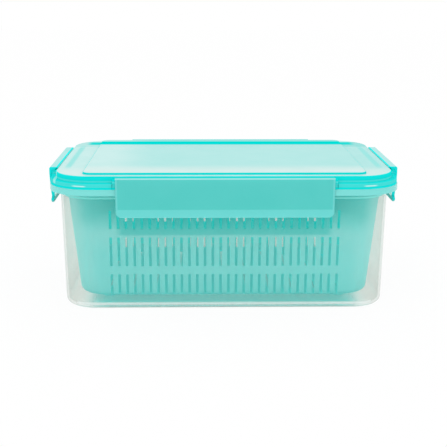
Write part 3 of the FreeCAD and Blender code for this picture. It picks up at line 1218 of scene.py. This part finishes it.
    def build_feet(self, material: bpy.types.Material) -> None:
        """Build four square feet, each a rounded outline swept up a softened profile.

        Args:
            material: the basket's finish.
        """
        s = self.sizes
        inset = self.outset - self.draft - self.foot_inset
        at_x, at_y = s.length / 2 + inset, s.depth / 2 + inset
        rows = [
            ((-self.foot_face, self.ground, self.foot_corner - self.foot_face), 0),
            ((0.0, self.ground, self.foot_corner), self.foot_round),
            ((0.0, self.foot + self.floor / 2, self.foot_corner), 0),
        ]
        foot = Stations.round_walk(6).points(rounded_rows(rows, steps=4), self.foot_width, self.foot_width)
        surface = Surface()
        for side_x in (-1, 1):
            for side_y in (-1, 1):
                surface.turned_body(foot + np.array([side_x * at_x, side_y * at_y, 0.0]))
        piece("basket_foot_blocks", surface, material, "container", ["basket_feet"])

    def build(self) -> None:
        """Build the basket's pieces."""
        material = self.finish.build()
        self.build_wall(material)
        self.build_floor(material)
        self.build_feet(material)


@dataclass
class Lid:
    """Lid: raised panel, ledge, outer wall, plug wall, corner brims and hinge rails.

    The ledge is wider at the two ends than at the front and back. The plug wall
    hangs inside the tub's rim, and the seal sits in the channel between it and the
    outer wall. Widths named rim are narrow bands that keep the shading crisp.
    """

    sizes: Sizes
    finish: TealPlastic
    panel_top: float = 118.5
    ledge_width: float = 7.5
    ledge_end_width: float = 24.5
    panel_corner: float = 8.0
    panel_rim: float = 3.0
    panel_foot_rim: float = 1.5
    ledge_rim: float = 2.5
    brim_foot: float = 106.52
    brim_top: float = 111.5
    brim_reach: float = 4.6
    brim_root: float = 0.4
    wall: float = 2.0
    rim_clearance: float = 1.2
    plug_outset: float = -3.4
    plug_wall: float = 1.8
    plug_foot: float = 104.0
    window_margin: float = 3.0
    rib_width: float = 2.3
    rib_gap: float = 0.35
    rib_top: float = 115.0
    rib_shoulder: float = 1.6
    rib_over_brim: float = 0.5
    rib_behind_brim: float = 0.2
    root: float = 0.3
    rail_foot: float = 113.8
    rail_top: float = 116.2
    rail_reach: float = 1.5
    seat: float = 0.9

    def level(self, outset: float, height: float) -> Tuple[float, ...]:
        """Return a profile point on an outline that follows the rim's."""
        return (*self.sizes.ring(outset, height), 0.0)

    def panel_level(self, inset: float, height: float) -> Tuple[float, ...]:
        """Return a profile point on the raised panel's outline, drawn in by an inset."""
        outset = self.sizes.lid_outset - self.ledge_width - inset
        return (outset, height, self.panel_corner - inset, self.ledge_end_width - self.ledge_width)

    def build_cap(self, material: bpy.types.Material) -> None:
        """Build the cap: from the panel over the ledge, down, and back up inside.

        Args:
            material: the lid's finish.
        """
        s = self.sizes
        out = s.lid_outset
        plug_in = self.plug_outset - self.plug_wall
        recess = self.panel_top - self.wall
        rows = [
            (self.panel_level(self.panel_rim, self.panel_top), 0),
            (self.panel_level(0.0, self.panel_top), 0.9),
            (self.panel_level(0.0, s.ledge_top), 0.5),
            (self.panel_level(-self.panel_foot_rim, s.ledge_top), 0),
            (self.level(out - self.ledge_rim, s.ledge_top), 0),
            (self.level(out, s.ledge_top), 1.2),
            (self.level(out, self.brim_foot), 0.3),
            (self.level(self.rim_clearance, self.brim_foot), 0.3),
            (self.level(self.rim_clearance, s.channel_roof), 0.4),
            (self.level(self.plug_outset, s.channel_roof), 0.4),
            (self.level(self.plug_outset, self.plug_foot), 0.5),
            (self.level(plug_in, self.plug_foot), 0.5),
            (self.level(plug_in, s.channel_roof), 0),
            (self.panel_level(self.wall, s.channel_roof), 0),
            (self.panel_level(self.wall, recess), 0.4),
            (self.panel_level(self.wall + self.panel_rim, recess), 0),
        ]
        profile = rounded_rows(rows, steps=5)
        surface = Surface()
        surface.turned_body(Stations.whole_rim().points(profile, s.length, s.depth))
        piece("lid_cap", surface, material, "container", ["lid"])

    def build_brims(self, material: bpy.types.Material, latches: Sequence["Latch"]) -> None:
        """Build the four corner brims between the latches.

        Args:
            material: the lid's finish.
            latches: all four latches, front first, then the right one.
        """
        s = self.sizes
        run_x = latches[0].length / 2 + self.window_margin
        run_y = latches[1].length / 2 + self.window_margin
        root = s.lid_outset - self.brim_root
        reach = s.lid_outset + self.brim_reach
        rows = [
            (s.ring(root, self.brim_top), 0),
            (s.ring(reach, self.brim_top), 1.2),
            (s.ring(reach, self.brim_foot), 0.1),
            (s.ring(reach - self.wall, self.brim_foot), 0.4),
            (s.ring(reach - self.wall, self.brim_top - self.wall), 0.5),
            (s.ring(root, self.brim_top - self.wall), 0),
        ]
        profile = rounded_rows(rows, steps=4)
        surface = Surface()
        for sx in (-1, 1):
            for sy in (-1, 1):
                walk = Stations.round_corner((sx, sy), run_x, run_y, 16)
                grid = walk.points(profile, s.length, s.depth)
                surface.bar(grid[:, ::-1] if sx * sy < 0 else grid)
        piece("lid_brims", surface, material, "container", [])

    def build_rails(self, material: bpy.types.Material, latches: Sequence["Latch"]) -> None:
        """Build the cradles for the latches' beads: a profile with a round seat.

        Args:
            material: the lid's finish.
            latches: the latches that turn in the cradles.
        """
        s = self.sizes
        start = math.asin((self.rail_top - s.hinge_height) / self.seat)
        stop = math.acos((self.rail_reach - s.hinge_out) / self.seat)
        angle = np.linspace(math.pi - start, 2 * math.pi - stop, 10)
        out = s.hinge_out + self.seat * np.cos(angle)
        arc = np.stack([out, s.hinge_height + self.seat * np.sin(angle)], axis=1)
        back = [[-self.root, self.rail_foot], [-self.root, self.rail_top]]
        rows = np.concatenate([back, arc, [[self.rail_reach, self.rail_foot]]])
        surface = Surface()
        for latch in latches:
            latch.extrude(surface, rows, latch.length, rounding=0.0)
        piece("lid_rails", surface, material, "container", [])

    def build_ribs(self, material: bpy.types.Material, latches: Sequence["Latch"]) -> None:
        """Build the upright ribs that end the brims beside each latch.

        A rib's section, seen from its side, is the wall, a rounded top and a
        front that follows the brim's reach.

        Args:
            material: the lid's finish.
            latches: all four latches.
        """
        reach = self.brim_reach - self.rib_behind_brim
        rows = rounded_rows(
            [
                ((-self.root, self.brim_foot), 0),
                ((-self.root, self.rib_top), 0),
                ((self.rib_shoulder, self.rib_top), 1.2),
                ((reach, self.brim_top + self.rib_over_brim), 3.0),
                ((reach, self.brim_foot), 0.4),
            ],
            steps=4,
        )
        surface = Surface()
        for latch in latches:
            middle = latch.length / 2 + self.rib_gap + self.rib_width / 2
            for end in (-1, 1):
                latch.extrude(surface, rows, self.rib_width, rounding=0.0, shift=end * middle)
        piece("lid_ribs", surface, material, "container", [])

    def build(self, latches: Sequence["Latch"]) -> None:
        """Build the lid's pieces.

        Args:
            latches: all four latches, front first, then the right one.
        """
        material = self.finish.build()
        self.build_cap(material)
        self.build_brims(material, latches)
        self.build_rails(material, latches)
        self.build_ribs(material, latches)


@dataclass
class Seal:
    """Soft ring in the lid's channel, resting on the tub's rim."""

    sizes: Sizes
    finish: MilkySilicone
    outer: float = 0.9
    inner: float = -3.1
    edge_round: float = 0.5

    def build(self) -> None:
        """Build the ring as a closed profile carried round the outline."""
        s = self.sizes
        rows = [
            s.ring(self.outer, s.rim_top),
            s.ring(self.outer, s.channel_roof),
            s.ring(self.inner, s.channel_roof),
            s.ring(self.inner, s.rim_top),
        ]
        profile = softened(rows, [self.edge_round] * len(rows), steps=4, closed=True)
        grid = Stations.whole_rim().points(profile, s.length, s.depth)
        surface = Surface()
        surface.sweep(grid, loop=True, round_walk=True)
        piece("seal_ring", surface, self.finish.build(), "container", ["lid_seal"])


@dataclass
class Latch:
    """A latch: bead and neck, top plate, leaning face, flared finger tab and hook.

    Its face is out of the rim's outline by the outset at the top and leans in
    towards the tab. The bead turns in the lid's cradle, and the neck joins it to
    the top plate. A web closes each end between the top plate and the face.
    """

    sizes: Sizes
    side: Side
    outset: float = 11.2
    wall: float = 2.0
    top_edge: float = 1.5
    face_start: float = 6.0
    mid_lean: float = 0.6
    tab_lean: float = 1.5
    tab_wall: float = 2.1
    tab_height: float = 6.4
    tab_flare: float = 0.7
    tab_flare_power: float = 1.7
    tab_round: float = 0.7
    tab_corner: float = 4.5
    tab_lift_margin: float = 0.5
    end_round: float = 0.45
    hook_clearance: float = 0.35
    hook_nose_gap: float = 3.4
    hook_nose_height: float = 1.4
    hook_height: float = 11.0
    bead: float = 0.6
    neck: float = 1.0
    neck_end: float = 1.7
    haunch: float = 1.5
    web: float = 1.4
    web_inset: float = 0.5
    web_foot: float = 107.4
    web_rise: float = 1.5
    web_lap: float = 0.4

    @property
    def name(self) -> str:
        """The body and node name's first word."""
        return self.side.name.lower()

    @property
    def is_long(self) -> bool:
        """Whether the latch is on a long side, the front or the back."""
        return self.side in (Side.FRONT, Side.BACK)

    @property
    def length(self) -> float:
        """The latch's length along its side."""
        return self.sizes.long_latch if self.is_long else self.sizes.short_latch

    @property
    def drop(self) -> float:
        """How far the latch reaches down from the ledge's top."""
        return self.sizes.long_latch_drop if self.is_long else self.sizes.short_latch_drop

    def half_width(self) -> float:
        """Return half the tub's width across this latch's side."""
        return (self.sizes.depth if self.is_long else self.sizes.length) / 2

    def front_rows(self) -> np.ndarray:
        """Return the section's outside, from the hinge over the top edge to the tab's lip.

        The face is the curve (1 - t)^2 A + 2 t (1 - t) B + t^2 C, and the tab flares
        by the width times t^1.7, where t runs from 0 to 1 on the way down.

        Returns:
            Rows of the distance out of the lid's wall and the height.
        """
        s = self.sizes
        top, tip = s.ledge_top, s.ledge_top - self.drop
        face = self.outset - s.lid_outset
        tab = face - self.tab_lean
        edge = [((s.hinge_out, top), 0), ((face, top), self.top_edge), ((face, top - self.face_start), 0)]
        outer = rounded_rows(edge, steps=6)
        drop = np.linspace(0, 1, 9)[:, None]
        start = np.array([face, top - self.face_start])
        knee = np.array([face - 2 * self.mid_lean + self.tab_lean / 2, s.skirt_foot])
        stop = np.array([tab, tip + self.tab_height])
        face_rows = (1 - drop) ** 2 * start + 2 * drop * (1 - drop) * knee + drop**2 * stop
        share = np.linspace(0, 1, 6)[1:, None]
        flare_out = tab + self.tab_flare * share**self.tab_flare_power
        flare = np.concatenate([flare_out, tip + self.tab_height * (1 - share)], 1)
        back = flare[::-1] - np.array([self.tab_wall, 0.0])
        lip = softened([flare[-2], flare[-1], back[0], back[1]], [0, self.tab_round, self.tab_round, 0])
        return np.concatenate([outer[:-1], face_rows, flare[:-1], lip[1:-1], back[1:]])

    def hook_rows(self, out: np.ndarray) -> np.ndarray:
        """Return points of the hook's top, an arc about the hinge that clears the skirt.

        The height at a distance out is the hinge's less sqrt(arm^2 - (out - hinge)^2).

        Args:
            out: distances out of the lid's wall.

        Returns:
            Rows of distance and height.
        """
        s = self.sizes
        skirt = s.flange_reach - s.lid_outset
        arm = self.hook_clearance + math.hypot(skirt - s.hinge_out, s.hinge_height - s.skirt_foot)
        return np.stack([out, s.hinge_height - np.sqrt(arm**2 - (out - s.hinge_out) ** 2)], 1)

    def section(self) -> np.ndarray:
        """Work out the whole section: outside, tab's back, hook, haunch, neck and bead.

        Returns:
            Rows of the distance out of the lid's wall and the height.
        """
        s = self.sizes
        top, tip = s.ledge_top, s.ledge_top - self.drop
        plate, neck_foot = top - self.wall, top - self.neck
        face = self.outset - s.lid_outset
        inside = face - self.wall
        tab_back = face - self.tab_lean - self.tab_wall
        nose = self.hook_nose_gap - s.lid_outset
        nose_top = self.hook_rows(np.array([nose]))[0, 1]
        under_hook = [
            (tab_back, tip + self.tab_height),
            (tab_back, nose_top - self.hook_height),
            (nose, nose_top - self.hook_nose_height),
        ]
        under_plate = [
            (inside, plate - self.haunch),
            (inside - self.haunch, plate),
            (self.neck_end + self.neck, plate),
            (self.neck_end, neck_foot),
        ]
        neck_angle = math.asin((s.hinge_height - neck_foot) / self.bead)
        angle = np.linspace(-neck_angle, -1.5 * math.pi, 12)[:-1]
        bead = np.array([[s.hinge_out, s.hinge_height]]) + self.bead * np.stack(
            [np.cos(angle), np.sin(angle)], 1
        )
        hook = self.hook_rows(np.linspace(nose, inside, 6))
        return np.concatenate([self.front_rows(), under_hook, hook, under_plate, bead])

    def web_section(self) -> np.ndarray:
        """Work out the plate that closes each end between the top plate and the face.

        Returns:
            Rows of the distance out of the lid's wall and the height.
        """
        s = self.sizes
        outer = self.outset - s.lid_outset - self.wall + self.web_lap
        inner = self.neck_end + 2 * self.web_lap
        top = s.ledge_top - self.wall + self.web_lap
        rows = [
            ((inner, top), 0),
            ((outer, top), 0),
            ((outer, self.web_foot), 0),
            ((inner, self.web_foot + self.web_rise), 1.0),
        ]
        return rounded_rows(rows, steps=4)

    def extrude(
        self, surface: Surface, rows: np.ndarray, length: float, rounding: float, shift: float = 0.0
    ) -> None:
        """Carry a section along this latch's side and close its ends.

        With t running from 0 to 1 over the last stretch R before each end, the
        section shrinks into itself by R (1 - sqrt(1 - t^2)), which rounds the ends'
        edges. Its tip lifts by the same law with the tab's corner radius, which
        rounds the tab's lower corners.

        Args:
            surface: the surface that gets the faces.
            rows: the section, anticlockwise or clockwise.
            length: how long the piece is.
            rounding: the ends' edge radius, 0 for plain ends.
            shift: how far the piece's middle is from the side's middle.
        """
        half = length / 2
        tip = rows[:, 1].min()
        reference = tip + self.tab_height + self.tab_lift_margin
        steps = [0.0]
        if rounding > 0:
            near = rounding * (1 - np.cos(np.linspace(0, math.pi / 2, 5)))
            far = self.tab_corner * (1 - np.cos(np.linspace(0, math.pi / 2, 10)))
            steps = np.unique(np.round(np.concatenate([near, far]), 6)).tolist()
        distance = np.array(steps)
        x = np.concatenate([-half + distance, half - distance[::-1]])
        depth = np.concatenate([distance, distance[::-1]])
        grid_out = np.repeat(rows[:, :1], len(x), axis=1)
        grid_z = np.repeat(rows[:, 1:], len(x), axis=1)
        if rounding > 0:
            t = np.clip(1 - depth / self.tab_corner, 0, 1)
            lift = self.tab_corner * (1 - np.sqrt(np.maximum(1 - t**2, 0)))
            low = grid_z < reference
            grid_z = np.where(low, grid_z + lift * (reference - grid_z) / (reference - tip), grid_z)
            inward = self.inward(rows)
            t = np.clip(1 - depth / rounding, 0, 1)
            shrink = rounding * (1 - np.sqrt(np.maximum(1 - t**2, 0)))
            grid_out = grid_out + inward[:, :1] * shrink
            grid_z = grid_z + inward[:, 1:] * shrink
        y = -(self.half_width() + self.sizes.lid_outset + grid_out)
        grid = np.stack([np.repeat(x[None] + shift, len(rows), axis=0), y, grid_z], axis=-1)
        surface.bar(quarter_turns(grid, self.side))

    @staticmethod
    def inward(rows: np.ndarray) -> np.ndarray:
        """Return each point's direction into the section: the tangent turned a quarter.

        Args:
            rows: the section.

        Returns:
            A unit vector for each row.
        """
        tangent = np.roll(rows, -1, axis=0) - np.roll(rows, 1, axis=0)
        tangent /= np.linalg.norm(tangent, axis=1, keepdims=True)
        normal = np.stack([-tangent[:, 1], tangent[:, 0]], axis=1)
        area = np.sum(rows[:, 0] * np.roll(rows[:, 1], -1) - np.roll(rows[:, 0], -1) * rows[:, 1])
        return normal if area > 0 else -normal

    def build(self, material: bpy.types.Material) -> None:
        """Build the latch: its section carried along the side, and a web near each end.

        Args:
            material: the latches' finish.
        """
        surface = Surface()
        self.extrude(surface, self.section(), self.length, rounding=self.end_round)
        for end in (-1, 1):
            middle = end * (self.length - self.web) / 2 - end * self.web_inset
            self.extrude(surface, self.web_section(), self.web, rounding=0.0, shift=middle)
        name = f"latch_{self.name}"
        piece(f"{name}_clip", surface, material, f"{self.name}_latch", [name])


def basket_plastic() -> TealPlastic:
    """Return the basket's finish: it lets much light through, and a painted glow adds to it.

    Painted shade makes it deeper near the rim, deeper still beside the front latch,
    and deeper in the front latch's shadow; painted teal bounce light fills its inside
    faces, painted light makes the corners paler, and a painted highlight runs along
    the rim's lower edge.

    Returns:
        The finish.
    """
    upright = (Along.TOP, -0.4, 0.4, 0.2)
    front = (Along.Y, -110.0, -60.0, 4.0)
    return TealPlastic(
        "basket_teal",
        (0.46, 0.67, 0.68),
        zones=(
            # painted shade: deeper towards the rim, under the lid
            Zone((0.21, 0.47, 0.46), ((Along.Z, 84.0, 110.0, 22.0),)),
            # painted shade near the rim beside the front latch
            Zone(
                (0.10, 0.32, 0.31),
                ((Along.Z, 86.0, 110.0, 6.0), (Along.X_SIZE, 0.0, 96.0, 24.0), front),
                0.6,
            ),
            # painted light: paler corners
            Zone((0.60, 0.72, 0.72), ((Along.X_SIZE, 130.0, 150.0, 14.0),), 0.7),
            # painted shadow of the front latch
            Zone(
                (0.0, 0.38, 0.37),
                ((Along.Z, 64.5, 90.0, 2.0), (Along.X_SIZE, 0.0, 86.0, 8.0), front),
                0.65,
            ),
            # painted highlight along the rim's lower edge
            Zone((0.50, 0.97, 0.95), ((Along.Z, 96.0, 97.6, 0.3), upright)),
            # painted teal bounce light on the inside faces
            Zone((0.0, 0.85, 0.83), ((Along.OUT, -3.0, -0.3, 0.2), upright)),
        ),
        gloss=Region((), 0.2),
        glow=0.40,
        glow_colour=(0.03, 0.95, 0.92),
        # painted glow: an emission in the glow colour
        inner_light=0.20,
    )


def lid_plastic() -> TealPlastic:
    """Return the lid's finish: saturated walls and a top made pale by painted light.

    The plug wall shows through the top as a band near each end and, at a low angle,
    along the back. Painted light makes the top paler still to the left and the front
    and on the back ledge, painted highlights mark the wall's left corner and the brim,
    and a painted glow shines out of the walls' edges.

    Returns:
        The finish.
    """
    facing_up = (Along.TOP, 0.95, 1.1, 0.05)
    top = (Along.Z, 116.2, 120.0, 0.3)
    ledge = (Along.Z, 116.2, 117.0, 0.4)
    plug = (Along.X_SIZE, 134.4, 136.4, 3.0)
    panel = (Along.Z, 118.0, 120.0, 0.4)
    return TealPlastic(
        "lid_teal",
        (0.006, 0.72, 0.69),
        zones=(
            Zone((0.065, 0.71, 0.68), ((Along.Z, 108.4, 111.0, 0.4),)),
            Zone((0.09, 0.77, 0.75), ((Along.Z, 111.9, 112.9, 0.5),)),
            # painted highlight on the wall's left corner
            Zone(
                (0.50, 0.84, 0.82),
                ((Along.Z, 109.0, 116.3, 0.5), (Along.X, -144.3, -142.4, 0.5)),
                0.6,
            ),
            # painted highlight dashes on the brim's face
            Zone(
                (0.85, 0.95, 0.93),
                ((Along.Z, 108.9, 109.5, 0.4), (Along.X_SIZE, 118.0, 124.0, 4.0)),
                0.6,
            ),
            # the top made pale by painted light on what faces up
            Zone((0.33, 0.72, 0.69), (top, facing_up)),
            # painted light: the top paler towards the left
            Zone((0.48, 0.77, 0.745), (top, facing_up, (Along.X, -150.0, -105.0, 45.0))),
            # painted light: the top paler towards the front
            Zone((0.61, 0.77, 0.74), (top, facing_up, (Along.Y, -110.0, -85.0, 35.0)), 0.85),
            Zone((0.15, 0.71, 0.67), (top, facing_up, plug, (Along.Y_SIZE, 0.0, 46.0, 24.0)), 0.85),
            Zone(
                (0.0, 0.69, 0.64),
                (panel, (Along.Y, 64.0, 82.0, 2.0), (Along.X_SIZE, 0.0, 119.5, 2.0)),
                low_angle=True,
            ),
            Zone(
                (0.02, 0.69, 0.64),
                (ledge, (Along.Y, 74.0, 88.0, 5.0), (Along.X_SIZE, 119.5, 128.0, 7.0)),
                low_angle=True,
            ),
            Zone((0.0, 0.70, 0.66), (ledge, (Along.Y, -103.0, -100.4, 0.5))),
            # painted light on the back ledge
            Zone((0.60, 0.85, 0.82), (ledge, facing_up, (Along.Y, 90.0, 103.0, 2.0))),
        ),
        gloss=Region((top, facing_up, (Along.Y, -99.0, 56.0, 6.0)), 0.6),
        # strength of the painted glow out of the lit zones
        inner_light=0.25,
        lit=(
            # painted glow along the top of the outward faces and rails
            Zone((0.0, 0.95, 0.90), ((Along.Z, 114.0, 117.0, 0.3), (Along.OUT, 0.3, 2.0, 0.1)), 0.2),
            # painted glow along the brim's foot, lifting the shade line there
            Zone((0.0, 0.95, 0.90), ((Along.Z, 106.0, 107.2, 0.3),), 0.5),
        ),
    )


def latch_plastic(latch: Latch) -> TealPlastic:
    """Return a latch's finish: painted light and highlights make its tab, ends and top edge lighter than
    its face.

    A painted glow comes out of the edge along the hinge, and on the short latches
    out of the ends and the thin hook.

    Args:
        latch: the latch that the finish is for.

    Returns:
        The finish.
    """
    size = Along.X_SIZE if latch.is_long else Along.Y_SIZE
    out = Along.Y_SIZE if latch.is_long else Along.X_SIZE
    half = latch.length / 2
    wall = latch.half_width() + latch.sizes.lid_outset
    top = latch.sizes.ledge_top
    tip = top - latch.drop
    up = (Along.TOP, 0.85, 1.1, 0.15)
    plate = (Along.Z, top - 0.2, top + 1.0, 0.1)
    hinge = (out, wall, wall + 1.7, 0.3)
    end = (size, half - 0.7, half + 1.0, 0.2)
    zones = (
        # painted light on the flared tab, which faces a little up
        Zone((0.165, 0.72, 0.69), ((Along.Z, tip, tip + latch.tab_height, 0.8),)),
        # painted highlight along the tab's lip
        Zone((0.22, 0.80, 0.77), ((Along.Z, tip - 1.0, tip + 0.6, 0.4),)),
        # painted highlight strips along the ends
        Zone((0.17, 0.70, 0.67), ((size, half - 1.4, half + 1.0, 0.4), (Along.Z, tip, top - 1.0, 1.0))),
        # painted highlight along the top edge
        Zone((0.34, 0.80, 0.77), ((Along.Z, top - 1.2, top + 1.0, 0.3),)),
        # top plate: deep teal on the long latches, pale by painted light on the short ones
        Zone((0.02, 0.71, 0.68) if latch.is_long else (0.50, 0.84, 0.82), (plate, up)),
        # the hinge strip kept deep teal under its painted glow
        Zone((0.0, 0.70, 0.68), (plate, up, hinge)),
    )
    # painted glow out of the hinge edge
    lit = (Zone((0.0, 0.95, 0.90), (plate, up, hinge)),)
    if not latch.is_long:
        hook = ((Along.Z, tip, latch.sizes.skirt_foot, 0.4), (out, wall, wall + 3.6, 0.4))
        # short latches: deep teal ends and a pale hook
        zones += (Zone((0.0, 0.70, 0.68), (end,)), Zone((0.62, 0.78, 0.75), hook))
        # painted glow out of the ends, and a white painted glow that lifts the hook out of the flange's
        # shade
        lit += (Zone((0.0, 0.45, 0.42), (end,)), Zone((1.0, 1.0, 1.0), hook))
    return TealPlastic(
        f"{latch.name}_latch_teal",
        (0.105, 0.645, 0.60),
        zones=zones,
        gloss=Region(((Along.Z, 0.0, top - 0.6, 0.4),), 0.3),
        glow=0.08,
        # strength of the painted glow
        inner_light=0.25,
        lit=lit,
    )


# Stage


@dataclass(frozen=True)
class Stage:
    """Camera, floor and light.

    Angles are in degrees, the lens and sensor in millimetres, all else in metres.
    The floor lies a hair below the box, so that the two never coincide.
    """

    lens: float = 80.5
    sensor: float = 36.0
    pitch: float = 13.19
    yaw: float = 1.31
    roll: float = 0.15
    target: Tuple[float, float, float] = (0.00099, 0.0, 0.053)
    distance: float = 0.9405
    nearest: float = 0.01
    farthest: float = 50.0
    floor_half: float = 6.0
    floor_drop: float = 0.0001
    floor_colour: Colour = (0.93, 0.93, 0.93)
    floor_white: float = 0.94
    lamp_aim: Tuple[float, float, float] = (0.0, 0.0, 0.06)

    def camera(self) -> None:
        """Place the camera: turned right by the yaw, tipped down by the pitch, then rolled."""
        pitch, yaw, roll = (math.radians(v) for v in (self.pitch, self.yaw, self.roll))
        forward = Vector(
            (math.sin(yaw) * math.cos(pitch), math.cos(yaw) * math.cos(pitch), -math.sin(pitch))
        )
        right = Vector((math.cos(yaw), -math.sin(yaw), 0.0))
        up = right.cross(forward)
        turned_right = right * math.cos(roll) + up * math.sin(roll)
        turned_up = up * math.cos(roll) - right * math.sin(roll)
        data = bpy.data.cameras.new("camera")
        data.lens, data.sensor_width = self.lens, self.sensor
        data.clip_start, data.clip_end = self.nearest, self.farthest
        camera = bpy.data.objects.new("camera", data)
        axes = Matrix((turned_right, turned_up, -forward)).transposed().to_4x4()
        axes.translation = Vector(self.target) - forward * self.distance
        camera.matrix_world = axes
        bpy.context.scene.collection.objects.link(camera)
        bpy.context.scene.camera = camera

    def floor(self) -> None:
        """Lay a pale floor that shows white to the camera but keeps shadows."""
        mesh = bpy.data.meshes.new("floor")
        signs = [(-1, -1), (1, -1), (1, 1), (-1, 1)]
        corners = [(x * self.floor_half, y * self.floor_half, -self.floor_drop) for x, y in signs]
        mesh.from_pydata(corners, [], [(0, 1, 2, 3)])
        floor = bpy.data.objects.new("floor", mesh)
        bpy.context.scene.collection.objects.link(floor)
        material, shader = new_material("floor_white")
        matt = shader.node("ShaderNodeBsdfDiffuse", {"Color": (*self.floor_colour, 1.0)})
        white = shader.node("ShaderNodeEmission", {"Color": (1, 1, 1, 1), "Strength": 1.0})
        shader.finish(shader.mix(self.seen(shader) * self.floor_white, matt, white))
        mesh.materials.append(material)

    @staticmethod
    def seen(shader: Shader) -> Field:
        """Return 1 for what the eye, a reflection or a see-through wall meets.

        Args:
            shader: the node tree's builder.

        Returns:
            1 for those rays and 0 for the rest.
        """
        camera = shader.node("ShaderNodeLightPath", output="Is Camera Ray")
        glossy = shader.node("ShaderNodeLightPath", output="Is Glossy Ray")
        through = shader.node("ShaderNodeLightPath", output="Is Transmission Ray")
        return camera.at_least(glossy).at_least(through)

    def light(self) -> None:
        """Light the box from a white surround and two soft lamps."""
        world = bpy.data.worlds.new("studio")
        world.use_nodes = True
        bpy.context.scene.world = world
        shader = Shader(world.node_tree)
        sky = shader.node("ShaderNodeBackground", {"Color": (1, 1, 1, 1), "Strength": 1.0})
        shader.finish(sky, "ShaderNodeOutputWorld")
        self.lamp("key", (-0.7, -0.9, 1.5), size=1.2, power=2.5)
        self.lamp("fill", (0.9, -0.5, 1.0), size=1.0, power=0.8)

    def lamp(self, name: str, place: Tuple[float, float, float], size: float, power: float) -> None:
        """Hang a square lamp that faces the box.

        Args:
            name: the lamp's name.
            place: where it hangs, in metres.
            size: its side in metres.
            power: its power in watts.
        """
        data = bpy.data.lights.new(name, "AREA")
        data.size, data.energy = size, power
        lamp = bpy.data.objects.new(name, data)
        lamp.location = place
        aim = Vector(self.lamp_aim) - Vector(place)
        lamp.rotation_euler = aim.to_track_quat("-Z", "Y").to_euler()
        bpy.context.scene.collection.objects.link(lamp)

    def build(self) -> None:
        """Set the stage."""
        self.camera()
        self.floor()
        self.light()
        bpy.context.scene.view_settings.view_transform = "Standard"


def main() -> None:
    """Build every part in order."""
    logging.basicConfig(level=logging.INFO, format="%(name)s: %(message)s")
    sizes = Sizes()
    latches = [Latch(sizes, side) for side in Side]
    Tub(sizes, ClearPlastic()).build()
    Basket(sizes, basket_plastic()).build()
    Lid(sizes, lid_plastic()).build(latches)
    Seal(sizes, MilkySilicone()).build()
    for latch in latches:
        latch.build(latch_plastic(latch).build())
    Stage().build()


if __name__ == "__main__":
    main()
